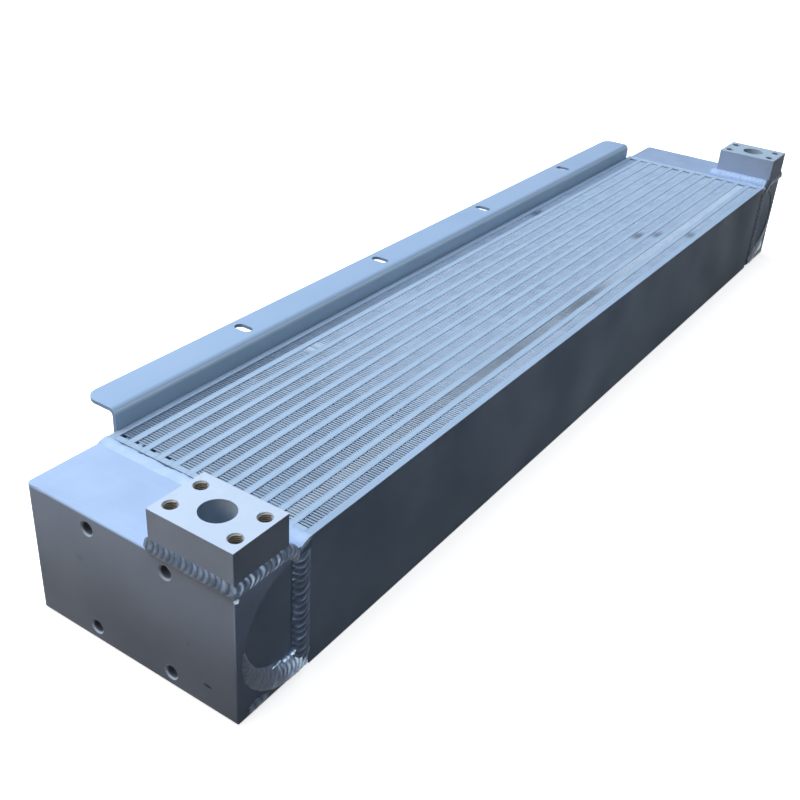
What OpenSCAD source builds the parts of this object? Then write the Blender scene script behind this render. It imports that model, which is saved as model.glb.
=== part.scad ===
// Bar and plate oil cooler: a brazed aluminium core between two welded tanks,
// with a square port block on each tank and a slotted flange along one side.
// +X runs from the near tank to the far tank, the plain side plate faces -Y
// and the flange +Y. The air passes through the core along Z.

/* [Core] */
// Number of rows of air fins
air_rows = 12; // [8:1:13]
// Height of an air fin between its two sheets
air_fin_h = 9.25; // [6:0.25:14]
// Height of an oil passage between its two sheets
oil_gap = 4; // [3:0.25:7]
// Thickness of a parting sheet
sheet_t = 0.8; // [0.5:0.1:1.6]
// Thickness of a side plate
side_plate_t = 6.2; // [3:0.1:10]
// Length of the core between the tanks
core_l = 917; // [500:1:1300]
// Depth of the core, along the air
core_depth = 109.5; // [95:0.5:122]
// Width of the bars that close the ends of an air row
air_bar_w = 5.4; // [4:0.2:12]
// Width of the bars that close the edges of an oil passage
oil_bar_w = 7; // [4:0.5:14]

/* [Fins] */
// Full waves in one row of air fin
air_waves = 44; // [12:1:48]
// Thickness of the air fin sheet
air_fin_t = 0.5; // [0.3:0.05:0.8]
// Depth of the air fin below the edges of the bars
fin_recess = 1; // [0.5:0.25:4]
// Full waves across one oil turbulator
turbulator_waves = 8; // [4:1:16]
// Thickness of the turbulator sheet
turbulator_t = 0.4; // [0.3:0.05:0.6]

/* [Tanks] */
// Length of a tank on the core's side of its port block
tank_margin = 14; // [12.5:0.5:40]
// How much lower than the core a tank is, above and below
tank_step = 2; // [0:0.25:4]
// Wall of a tank above and below its D-shaped cavity
tank_wall = 7; // [5:0.5:9]
// Wall of a tank at its end face, where the cavity comes closest
end_wall = 9; // [6:0.5:12]
// Thickness of an end cap
cap_t = 8; // [4:0.5:14]
// How far a cap sits inside the face of the tank
cap_recess = 0.6; // [0.4:0.1:2]
// Gap all round a cap in its seat
cap_gap = 0.2; // [0.1:0.05:0.5]
// Radius of the upright back edges of a tank
tank_edge_r = 4; // [1:0.5:8]
// Spacing of the threaded holes in a tank's end face, across the tank
end_hole_dy = 70; // [40:1:100]
// Distance of those holes' centres from the top and bottom faces
end_hole_edge = 11; // [9:0.5:14]
// Diameter of the threaded holes in a tank's end face
end_hole_d = 10; // [6:0.5:12]
// Depth of the threaded holes in a tank's end face
end_hole_depth = 20; // [10:1:24]

/* [Ports] */
// Length of a port block along X
block_l = 50; // [44:1:53]
// Width of a port block along Y
block_w = 70; // [66:1:90]
// Height of a port block above its tank
block_h = 32; // [20:1:50]
// Diameter of the port
port_d = 24.5; // [15:0.5:27]
// Spacing of the port's threaded holes along X
port_bolt_dx = 26.19; // [24:0.01:30]
// Spacing of the port's threaded holes along Y
port_bolt_dy = 52.37; // [46:0.01:54]
// Diameter of the port's threaded holes
port_bolt_d = 10; // [6:0.5:10]
// Depth of the port's threaded holes
port_bolt_depth = 22; // [10:1:28]
// How much wider than the port the hole in the tank is, on the radius
port_relief = 0.5; // [0.25:0.25:2]

/* [Flange] */
// Thickness of the bent sheet
flange_t = 3; // [2:0.5:5]
// Width of the flange, out from the side plate
flange_w = 33; // [28:1:60]
// Height of the flange's top face above the core
flange_rise = 17.5; // [14:0.5:40]
// Reach of the leg down the side plate
leg_drop = 60; // [30:1:85]
// Outer radius of the bend
bend_r = 6; // [5.5:0.5:10]
// Distance of the flange's ends inside the ends of the core
flange_setback = 8; // [1:0.5:20]
// Radius of the flange's corners
flange_corner_r = 12; // [4:1:20]
// Number of slots
slots = 4; // [2:1:6]
// Distance of the outermost slots from the flange's ends
slot_inset = 157; // [40:1:180]
// Width of a slot
slot_w = 9.5; // [6:0.5:12]
// Length of a slot, end to end
slot_l = 17; // [14:0.5:20]
// Distance of the slots' centres from the flange's free edge
slot_edge = 14; // [11:0.5:15]

/* [Welds] */
// Gap between a tank and the core that the weld fills
weld_gap = 7.5; // [4:0.5:12]
// Reach of the weld bead over the side of the tank
weld_lap = 11; // [6:0.5:12]
// Reach of the weld bead over the top of the tank
weld_top_lap = 3; // [1:0.5:4]
// Height of the bead over the sides
weld_side_rise = 1.6; // [0.5:0.1:3]
// Height of the bead over the top of the tank
weld_top_rise = 1.2; // [0.3:0.1:2]
// How far the weld stays short of the tank's bottom face
weld_bottom_short = 1.5; // [0.5:0.5:4]
// Height of the bead round the outside of a port block
block_bead_h = 11; // [6:0.5:14]
// How far that bead reaches down over the tank
block_bead_lap = 1; // [0.5:0.25:3]
// How far that bead stands out
block_bead_out = 3; // [1.5:0.5:4]
// Leg of the fillet at the inner foot of a port block
block_fillet = 9; // [4:0.5:10]
// Reach of the crescent weld on to the tank, past the edge of its cap
cap_bead_lap = 4.5; // [2:0.5:6]
// Width of the crescent weld where it meets the tank's side weld
cap_bead_w = 20; // [10:1:24]
// How far the crescent weld stands out
cap_bead_out = 1.8; // [0.5:0.1:3]
// Number of stitch welds under the flange's leg
stitches = 5; // [2:1:8]
// Length of a stitch weld
stitch_l = 45; // [20:1:50]
// Leg of a stitch weld
stitch_leg = 3; // [2:0.5:5]

/* [Hidden] */
function two_digits(i) = i < 10 ? str("0", i) : str(i);
function numbered(name, count) = [for (i = [1:count]) str(name, "_", two_digits(i))];

round_fn = 96;
hole_fn = 32;
bead_steps = 6;
eps = 1;

// Colours of the bare aluminium, its brazed core and its welds
plate_grey = [0.62, 0.66, 0.70];
core_grey = [0.72, 0.77, 0.83];
fin_grey = [0.50, 0.55, 0.62];
weld_grey = [0.78, 0.81, 0.84];

// The stack across the core, from the front plate to the back plate
oil_rows = air_rows - 1;
passage_w = oil_gap + 2 * sheet_t;
row_pitch = air_fin_h + passage_w;
core_w = 2 * side_plate_t + air_rows * air_fin_h + oil_rows * passage_w;
function air_y(row) = side_plate_t + (row - 1) * row_pitch;
function passage_y(row) = air_y(row) + air_fin_h;

// Places along X, from the outer face of the near tank
tank_l = block_l + tank_margin;
core_x = tank_l + weld_gap;
core_end_x = core_x + core_l;
total_l = core_end_x + core_x;
fin_l = core_l - 2 * air_bar_w;
flange_l = core_l - 2 * flange_setback;
flange_x = core_x + flange_setback;
slot_pitch = (flange_l - 2 * slot_inset) / (slots - 1);
side_bead_x = tank_l - weld_lap;
weld_z = tank_step + weld_bottom_short;

// The D-shaped cavity is half round towards the end face and square at the core
mid_z = core_depth / 2;
tank_top = core_depth - tank_step;
cavity_r = tank_top - mid_z - tank_wall;
cavity_x = end_wall + cavity_r;
port_x = block_l / 2;
port_y = block_w / 2;

// The flange stands behind the back plate, with its bend at the top
flange_top = core_depth + flange_rise;
leg_z = core_depth - leg_drop;
back_y = core_w + flange_w;

// The origin is under the middle of the whole part's box, on the ground
centre_y = (back_y - block_bead_out) / 2;
module placed() {
  translate([-total_l / 2, -centre_y, 0]) children();
}

// The far end is the near end mirrored about the middle of the core
module at_end(far) {
  placed() {
    if (far) translate([total_l, 0, 0]) mirror([1, 0, 0]) children();
    else children();
  }
}

// The back face is the front face mirrored about the middle of the core
module at_side(back) {
  if (back) translate([0, core_w, 0]) mirror([0, 1, 0]) children();
  else children();
}

// A weld bead's section: a flat arc on a chord that lies along X
function bead_r(chord, rise) = (chord * chord / 4 + rise * rise) / (2 * rise);
function bead_section(chord, rise) =
  let (r = bead_r(chord, rise), a = asin(chord / 2 / r))
  [for (i = [0:bead_steps]) let (t = a * (2 * i / bead_steps - 1)) [r * sin(t), r * cos(t) - r + rise]];

// A fillet weld's section: two legs from the corner and a bulging face
function fillet_section(leg) =
  let (a = atan2(1, 2), r = leg * sqrt(5))
  concat([[0, 0]],
    [for (i = [0:bead_steps]) let (t = a + (90 - 2 * a) * i / bead_steps) [r * cos(t) - leg, r * sin(t) - leg]]);

// A sheet folded to and fro: length along X, height along Y, no flat crests
function fold_rise(length, height, waves, t) =
  let (step = length / waves / 2) t * sqrt(1 + height * height / step / step);
function folded_sheet(length, height, waves, t) =
  let (step = length / waves / 2, rise = fold_rise(length, height, waves, t), last = 2 * waves)
  concat(
    [for (i = [0:last]) [i * step, i % 2 == 0 ? 0 : height - rise]],
    [for (i = [last:-1:0]) [i * step, i % 2 == 0 ? rise : height]]);

// What rounds off an upright edge that stands at the origin, inside +X and +Y
module edge_cut(r, h) {
  difference() {
    translate([-eps, -eps, -eps]) cube([r + eps, r + eps, h + 2 * eps]);
    translate([r, r, -2 * eps]) cylinder(r = r, h = h + 4 * eps, $fn = round_fn);
  }
}

// The D-shaped prism that the cavity and the caps share, from Y = 0 to w
module d_prism(r, w) {
  intersection() {
    translate([cavity_x, 0, mid_z]) union() {
      rotate([-90, 0, 0]) cylinder(r = r, h = w, $fn = round_fn);
      translate([0, 0, -r]) cube([tank_l, w, 2 * r]);
    }
    translate([0, 0, tank_step]) cube([tank_l, w, tank_top - tank_step]);
  }
}

module d_cavity() {
  translate([cavity_x, -eps, mid_z]) {
    rotate([-90, 0, 0]) cylinder(r = cavity_r, h = core_w + 2 * eps, $fn = round_fn);
    translate([0, 0, -cavity_r]) cube([tank_l, core_w + 2 * eps, 2 * cavity_r]);
  }
}

module end_holes() {
  for (dy = [-1, 1], z = [tank_step + end_hole_edge, tank_top - end_hole_edge])
    translate([-eps, core_w / 2 + dy * end_hole_dy / 2, z])
      rotate([0, 90, 0]) cylinder(d = end_hole_d, h = end_hole_depth + eps, $fn = hole_fn);
}

module tank(far) {
  color(plate_grey) at_end(far) difference() {
    translate([0, 0, tank_step]) cube([tank_l, core_w, tank_top - tank_step]);
    d_cavity();
    translate([0, core_w, 0]) mirror([0, 1, 0]) edge_cut(tank_edge_r, core_depth);
    translate([port_x, port_y, mid_z]) cylinder(d = port_d + 2 * port_relief, h = mid_z + eps, $fn = round_fn);
    end_holes();
  }
}

module cap(far, back) {
  color(plate_grey) at_end(far) at_side(back)
    translate([0, cap_recess, 0]) d_prism(cavity_r - cap_gap, cap_t);
}

module port_block(far) {
  color(plate_grey) at_end(far) translate([0, 0, tank_top]) difference() {
    cube([block_l, block_w, block_h]);
    translate([port_x, port_y, -eps]) cylinder(d = port_d, h = block_h + 2 * eps, $fn = round_fn);
    for (dx = [-1, 1], dy = [-1, 1])
      translate([port_x + dx * port_bolt_dx / 2, port_y + dy * port_bolt_dy / 2, block_h - port_bolt_depth])
        cylinder(d = port_bolt_d, h = port_bolt_depth + eps, $fn = hole_fn);
  }
}

module side_plate(back) {
  color(plate_grey) placed() at_side(back)
    translate([core_x, 0, 0]) cube([core_l, side_plate_t, core_depth]);
}

// One slot through the flange, its long way along Y
module slot() {
  run = (slot_l - slot_w) / 2;
  for (dy = [-run, run])
    translate([0, dy, 0]) cylinder(d = slot_w, h = flange_t + 2 * eps, $fn = round_fn);
  translate([-slot_w / 2, -run, 0]) cube([slot_w, 2 * run, flange_t + 2 * eps]);
}

module bend() {
  translate([0, bend_r, -bend_r]) intersection() {
    rotate([0, 90, 0]) difference() {
      cylinder(r = bend_r, h = flange_l, $fn = round_fn);
      translate([0, 0, -eps]) cylinder(r = bend_r - flange_t, h = flange_l + 2 * eps, $fn = round_fn);
    }
    translate([0, -bend_r, 0]) cube([flange_l, bend_r, bend_r]);
  }
}

module mounting_flange() {
  color(plate_grey) placed() translate([flange_x, core_w, flange_top]) difference() {
    union() {
      translate([0, 0, leg_z - flange_top]) cube([flange_l, flange_t, flange_top - bend_r - leg_z]);
      bend();
      translate([0, bend_r, -flange_t]) cube([flange_l, flange_w - bend_r, flange_t]);
    }
    for (i = [0:slots - 1])
      translate([slot_inset + i * slot_pitch, flange_w - slot_edge, -flange_t - eps]) slot();
    translate([0, flange_w, -flange_t]) mirror([0, 1, 0]) edge_cut(flange_corner_r, flange_t);
    translate([flange_l, flange_w, -flange_t]) mirror([0, 1, 0]) mirror([1, 0, 0]) edge_cut(flange_corner_r, flange_t);
  }
}

module air_fin(row) {
  color(fin_grey) placed() translate([core_x + air_bar_w, air_y(row), fin_recess])
    linear_extrude(core_depth - 2 * fin_recess)
      polygon(folded_sheet(fin_l, air_fin_h, air_waves, air_fin_t));
}

// The turbulator's folds run along the passage, so its section is across it
module oil_turbulator(row) {
  color(fin_grey) placed() translate([core_end_x, passage_y(row) + sheet_t, oil_bar_w])
    rotate([0, -90, 0]) linear_extrude(core_l)
      polygon(folded_sheet(core_depth - 2 * oil_bar_w, oil_gap, turbulator_waves, turbulator_t));
}

module oil_bars(row) {
  color(core_grey) placed()
    for (z = [0, core_depth - oil_bar_w])
      translate([core_x, passage_y(row) + sheet_t, z]) cube([core_l, oil_gap, oil_bar_w]);
}

module parting_sheets() {
  color(core_grey) placed()
    for (row = [1:oil_rows], y = [0, sheet_t + oil_gap])
      translate([core_x, passage_y(row) + y, 0]) cube([core_l, sheet_t, core_depth]);
}

module air_bars(far) {
  color(core_grey) at_end(far)
    for (row = [1:air_rows])
      translate([core_x, air_y(row), 0]) cube([air_bar_w, air_fin_h, core_depth]);
}

// The bead on one side of the tank joint, standing out from Y = 0
module side_bead() {
  chord = weld_lap + weld_gap;
  translate([side_bead_x + chord / 2, 0, weld_z])
    linear_extrude(tank_top - weld_z) mirror([0, 1]) polygon(bead_section(chord, weld_side_rise));
}

// The bead over the top runs out on to the two side beads
module top_bead() {
  chord = weld_top_lap + weld_gap;
  run_out = weld_side_rise / 2;
  translate([tank_l - weld_top_lap + chord / 2, core_w + run_out, tank_top])
    rotate([90, 0, 0]) linear_extrude(core_w + 2 * run_out) polygon(bead_section(chord, weld_top_rise));
}

// The weld fills the gap between the tank's rim and the core all the way round
module tank_weld(far) {
  color(weld_grey) at_end(far) union() {
    difference() {
      translate([tank_l, 0, weld_z]) cube([weld_gap, core_w, tank_top - weld_z]);
      translate([tank_l - eps, tank_wall, mid_z - cavity_r])
        cube([weld_gap + 2 * eps, core_w - 2 * tank_wall, 2 * cavity_r]);
    }
    at_side(false) side_bead();
    at_side(true) side_bead();
    top_bead();
  }
}

// The bead round the block's two outer faces, turned through the corner
module block_bead() {
  translate([0, 0, tank_top - block_bead_lap + block_bead_h / 2]) {
    rotate([90, 0, 90]) linear_extrude(side_bead_x)
      mirror([1, 0]) rotate(-90) polygon(bead_section(block_bead_h, block_bead_out));
    rotate([-90, 180, 0]) linear_extrude(block_w + block_bead_h / 2)
      rotate(-90) polygon(bead_section(block_bead_h, block_bead_out));
    rotate([0, 0, 180]) rotate_extrude(angle = 90, $fn = hole_fn)
      rotate(-90) polygon(bead_section(block_bead_h, block_bead_out));
  }
}

// The fillets along the block's two inner feet, turned through the corner
module block_fillets() {
  translate([0, 0, tank_top]) {
    translate([block_l, block_w, 0]) rotate([90, 0, 0]) linear_extrude(block_w) polygon(fillet_section(block_fillet));
    translate([0, block_w, 0]) rotate([90, 0, 90]) linear_extrude(block_l) polygon(fillet_section(block_fillet));
    translate([block_l, block_w, 0]) rotate_extrude(angle = 90, $fn = hole_fn) polygon(fillet_section(block_fillet));
  }
}

module port_weld(far) {
  color(weld_grey) at_end(far) union() {
    block_bead();
    block_fillets();
  }
}

// The crescent follows the lower edge of the cap and widens towards the core
module crescent(w) {
  outer_r = cavity_r + cap_bead_lap;
  shift = cap_bead_w / 2;
  intersection() {
    difference() {
      translate([cavity_x, 0, mid_z]) rotate([-90, 0, 0]) cylinder(r = outer_r, h = w, $fn = round_fn);
      translate([cavity_x - shift, -eps, mid_z + shift])
        rotate([-90, 0, 0]) cylinder(r = outer_r - shift, h = w + 2 * eps, $fn = round_fn);
    }
    cube([side_bead_x, w, mid_z + shift]);
  }
}

module cap_weld() {
  translate([0, -cap_bead_out, 0]) crescent(cap_bead_out);
  intersection() {
    crescent(cap_recess);
    d_prism(cavity_r - cap_gap, cap_recess);
  }
}

module cap_welds(far) {
  color(weld_grey) at_end(far) {
    at_side(false) cap_weld();
    at_side(true) cap_weld();
  }
}

module flange_welds() {
  pitch = (flange_l - stitch_l) / (stitches - 1);
  color(weld_grey) placed()
    for (i = [0:stitches - 1])
      translate([flange_x + i * pitch, core_w, leg_z])
        rotate([90, 0, 90]) linear_extrude(stitch_l) mirror([0, 1]) polygon(fillet_section(stitch_leg));
}

tank(false);  // near_tank
tank(true);  // far_tank
cap(false, false);  // near_front_cap
cap(false, true);  // near_back_cap
cap(true, false);  // far_front_cap
cap(true, true);  // far_back_cap
port_block(false);  // near_port_block
port_block(true);  // far_port_block
side_plate(false);  // front_side_plate
side_plate(true);  // back_side_plate
mounting_flange();
for (row = [1:air_rows]) air_fin(row);
for (row = [1:oil_rows]) oil_turbulator(row);
for (row = [1:oil_rows]) oil_bars(row);
parting_sheets();
air_bars(false);  // near_air_bars
air_bars(true);  // far_air_bars
tank_weld(false);  // near_tank_weld
tank_weld(true);  // far_tank_weld
port_weld(false);  // near_port_weld
port_weld(true);  // far_port_weld
cap_welds(false);  // near_cap_welds
cap_welds(true);  // far_cap_welds
flange_welds();
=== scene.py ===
# %% [markdown]
# # A bar and plate oil cooler in bare aluminium
#
# The cooler is one long brazed core between two square tanks. Hot oil enters through the port
# block on one tank, runs through flat passages in the core, and leaves through the other tank,
# while air blows down between the passages through folded fins. Everything is aluminium, so the
# picture lives from small things: the ripples of the welds, the fine rows of fins, and how the
# same bare metal looks when it is extruded, rolled, milled, brazed or melted.
#
# The first cell loads the measured parts as the fixed frame, and keeps the box that they fill.

# %% Load the frame and note its size
import math
import bmesh
import bpy
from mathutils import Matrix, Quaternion, Vector


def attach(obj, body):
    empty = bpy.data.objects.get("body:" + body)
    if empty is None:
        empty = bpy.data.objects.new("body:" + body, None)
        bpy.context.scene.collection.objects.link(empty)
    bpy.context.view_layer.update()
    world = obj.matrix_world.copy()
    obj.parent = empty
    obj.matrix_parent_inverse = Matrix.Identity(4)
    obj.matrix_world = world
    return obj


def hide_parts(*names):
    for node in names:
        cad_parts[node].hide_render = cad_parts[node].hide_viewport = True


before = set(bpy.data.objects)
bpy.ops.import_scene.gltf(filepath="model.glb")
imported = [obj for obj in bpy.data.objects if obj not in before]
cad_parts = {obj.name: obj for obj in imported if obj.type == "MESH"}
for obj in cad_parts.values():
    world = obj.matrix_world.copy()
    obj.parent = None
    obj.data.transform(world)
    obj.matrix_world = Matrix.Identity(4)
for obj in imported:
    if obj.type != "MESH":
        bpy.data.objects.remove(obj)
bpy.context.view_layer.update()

# Main sizes in millimetres, from the near tank's outer face, its front and the ground.
LENGTH, MIDDLE_Y = 1060.0, 107.5
CORE_X, CORE_END_X, CORE_W = 71.5, 988.5, 185.0
TANK_TOP, BLOCK_L, BLOCK_W, BLOCK_TOP = 107.5, 50.0, 70.0, 139.5


def at(x, y, z):
    """Millimetres from the near tank's front corner on the ground, as a point of the scene."""
    return Vector(((x - LENGTH / 2) / 1000, (y - MIDDLE_Y) / 1000, z / 1000))


# %% [markdown]
# Node trees are long to write out, so one helper adds a node, sets its properties and fills its
# inputs. An input may be a plain value, a node (its first output is used) or a certain socket.
# Colours are written as the hex values that a screen shows, and one function makes them linear.

# %% A helper for nodes and one for colours
def add(tree, kind, inputs=(), **settings):
    """Adds one node with its settings, and fills or links its inputs by number or by name."""
    made = tree.nodes.new(kind)
    for key, value in settings.items():
        setattr(made, key, value)
    for key, value in (inputs.items() if isinstance(inputs, dict) else enumerate(inputs)):
        if isinstance(value, bpy.types.Node):
            value = value.outputs[0]
        if isinstance(value, bpy.types.NodeSocket):
            tree.links.new(value, made.inputs[key])
        elif value is not None:
            made.inputs[key].default_value = value
    return made


def linear(hex_colour):
    """An sRGB hex colour as linear red, green, blue and alpha."""
    parts = [int(hex_colour[i:i + 2], 16) / 255 for i in (1, 3, 5)]
    return tuple(c / 12.92 if c <= 0.04045 else ((c + 0.055) / 1.055) ** 2.4 for c in parts) + (1.0,)


print("mid grey #808080 is", round(linear("#808080")[0], 3), "in linear light")

# %% [markdown]
# The camera stands where the photograph was taken from. Its place, roll and lens were solved
# from the cooler's long straight edges: the picture is a wide shot from the front left, a little
# above the cooler, and slightly tilted.

# %% The camera
camera_data = bpy.data.cameras.new("camera")
camera_data.lens = 46.929
camera_data.sensor_width = 36
camera_data.clip_start = 0.01
camera = bpy.data.objects.new("camera", camera_data)
bpy.context.collection.objects.link(camera)
camera.location = (-0.87323, -0.43110, 0.51789)
aim = Vector((-0.14443, 0.03319, 0.01461)) - camera.location
turn = aim.to_track_quat("-Z", "Y")
camera.rotation_euler = (turn @ Quaternion((0, 0, 1), math.radians(3.881))).to_euler()
bpy.context.scene.camera = camera
bpy.context.scene.view_settings.view_transform = "Standard"
print("camera at", tuple(round(v, 4) for v in camera.location))

# %% [markdown]
# The cooler lies on white paper. A white floor lights everything from below, which a workshop
# floor doesn't, so the paper is white only where the eye or a reflection meets it, and dim for the
# light that it throws back. It still takes the cooler's shadow.

# %% The white floor
def seen_directly(tree):
    """1 for rays that see the surface itself: camera, glossy and transmission rays."""
    path = add(tree, "ShaderNodeLightPath")
    both = add(tree, "ShaderNodeMath", [path.outputs["Is Camera Ray"], path.outputs["Is Glossy Ray"]],
               operation="MAXIMUM")
    return add(tree, "ShaderNodeMath", [both, path.outputs["Is Transmission Ray"]], operation="MAXIMUM")


floor_mesh = bpy.data.meshes.new("floor")
floor_mesh.from_pydata([(-30, -30, 0), (30, -30, 0), (30, 30, 0), (-30, 30, 0)], [], [(0, 1, 2, 3)])
floor = bpy.data.objects.new("floor", floor_mesh)
bpy.context.collection.objects.link(floor)
paper = bpy.data.materials.new("white_paper_floor")
paper.use_nodes = True
paper.node_tree.nodes.clear()
dim = add(paper.node_tree, "ShaderNodeBsdfDiffuse", {"Color": linear("#2C2A28")})
white = add(paper.node_tree, "ShaderNodeBsdfDiffuse", {"Color": linear("#E6E6E6")})
glow = add(paper.node_tree, "ShaderNodeEmission", {"Color": (1, 1, 1, 1), "Strength": 0.80})
bright = add(paper.node_tree, "ShaderNodeAddShader", [white, glow])
paper_mix = add(paper.node_tree, "ShaderNodeMixShader", [seen_directly(paper.node_tree), dim, bright])
add(paper.node_tree, "ShaderNodeOutputMaterial", [paper_mix])
floor_mesh.materials.append(paper)
print("floor:", floor.name, "with", paper.name)

# %% [markdown]
# The cooler was photographed under an open sky: its upper faces are bright and slightly blue, the
# end that faces the camera gets some warm light from the side, and the long front is in shade.
# A large soft light overhead and weak ones at the sides give the same. Shiny metal also mirrors
# the sky, so the world is dark for it near the horizon and brighter higher up.

# %% World and lamps
def area_light(name, place, target, size, power, colour):
    """A soft light at a place in metres, turned to face a target."""
    data = bpy.data.lights.new(name, "AREA")
    data.shape = "RECTANGLE"
    data.size, data.size_y = size
    data.energy = power
    data.color = colour
    lamp = bpy.data.objects.new(name, data)
    bpy.context.collection.objects.link(lamp)
    lamp.location = place
    lamp.rotation_euler = (Vector(target) - Vector(place)).to_track_quat("-Z", "Y").to_euler()


world = bpy.data.worlds.new("studio")
bpy.context.scene.world = world
world.use_nodes = True
world.node_tree.nodes.clear()
soft = add(world.node_tree, "ShaderNodeBackground", {"Color": linear("#EEF4FF"), "Strength": 0.055})
plain = add(world.node_tree, "ShaderNodeBackground", {"Color": (1, 1, 1, 1), "Strength": 1.0})
direction = add(world.node_tree, "ShaderNodeTexCoord").outputs["Generated"]
look = add(world.node_tree, "ShaderNodeSeparateXYZ", [direction])
above = add(world.node_tree, "ShaderNodeMapRange", {"Value": look.outputs[2], "From Min": 0.15,
                                                    "From Max": 0.6, "To Min": 0.0, "To Max": 0.6})
shiny = add(world.node_tree, "ShaderNodeBackground", {"Color": linear("#E2ECFF"), "Strength": above})
glossy = add(world.node_tree, "ShaderNodeLightPath").outputs["Is Glossy Ray"]
soft = add(world.node_tree, "ShaderNodeMixShader", [glossy, soft, shiny])
world_mix = add(world.node_tree, "ShaderNodeMixShader", [seen_directly(world.node_tree), soft, plain])
add(world.node_tree, "ShaderNodeOutputWorld", [world_mix])

area_light("sky", (-0.42, 0.80, 2.3), (-0.1, 0.05, 0.1), (2.5, 2.2), 80, (0.85, 0.945, 1.0))
area_light("side_fill", (-2.0, 0.25, 0.75), (-0.5, 0.0, 0.08), (0.8, 0.5), 4.6, (1.0, 0.78, 0.58))
area_light("back_fill", (1.4, 3.0, 0.9), (0.1, 0.1, 0.05), (2.0, 1.2), 20, (0.95, 0.97, 1.0))

# %% [markdown]
# Bare aluminium is the same metal everywhere, but how it was worked decides what the eye gets.
# One function describes a worked aluminium: its colour, how much is clean metal, how matt it is,
# the fine lines that rolling, extruding or milling leave, a matt grain, and soft stains. The lines
# are noise stretched along the direction of the work. Spots darken it towards a dark colour, some
# of them stains and some painted shade, and painted shade also darkens it low down.
# A weld bead also carries a shade of its own, painted shade and painted highlights: it darkens the
# valleys between the ripples, and where it is strongest it paints a highlight and lets the metal
# glint. Each finish gives its own values.

# %% Worked aluminium
PAINTED_SHADE_FULL_Z, PAINTED_SHADE_END_Z = 0.02, 0.112
GLINT_FROM, GLINT_FULL, GLINT_METAL = 1.2, 2.3, 0.6


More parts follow.
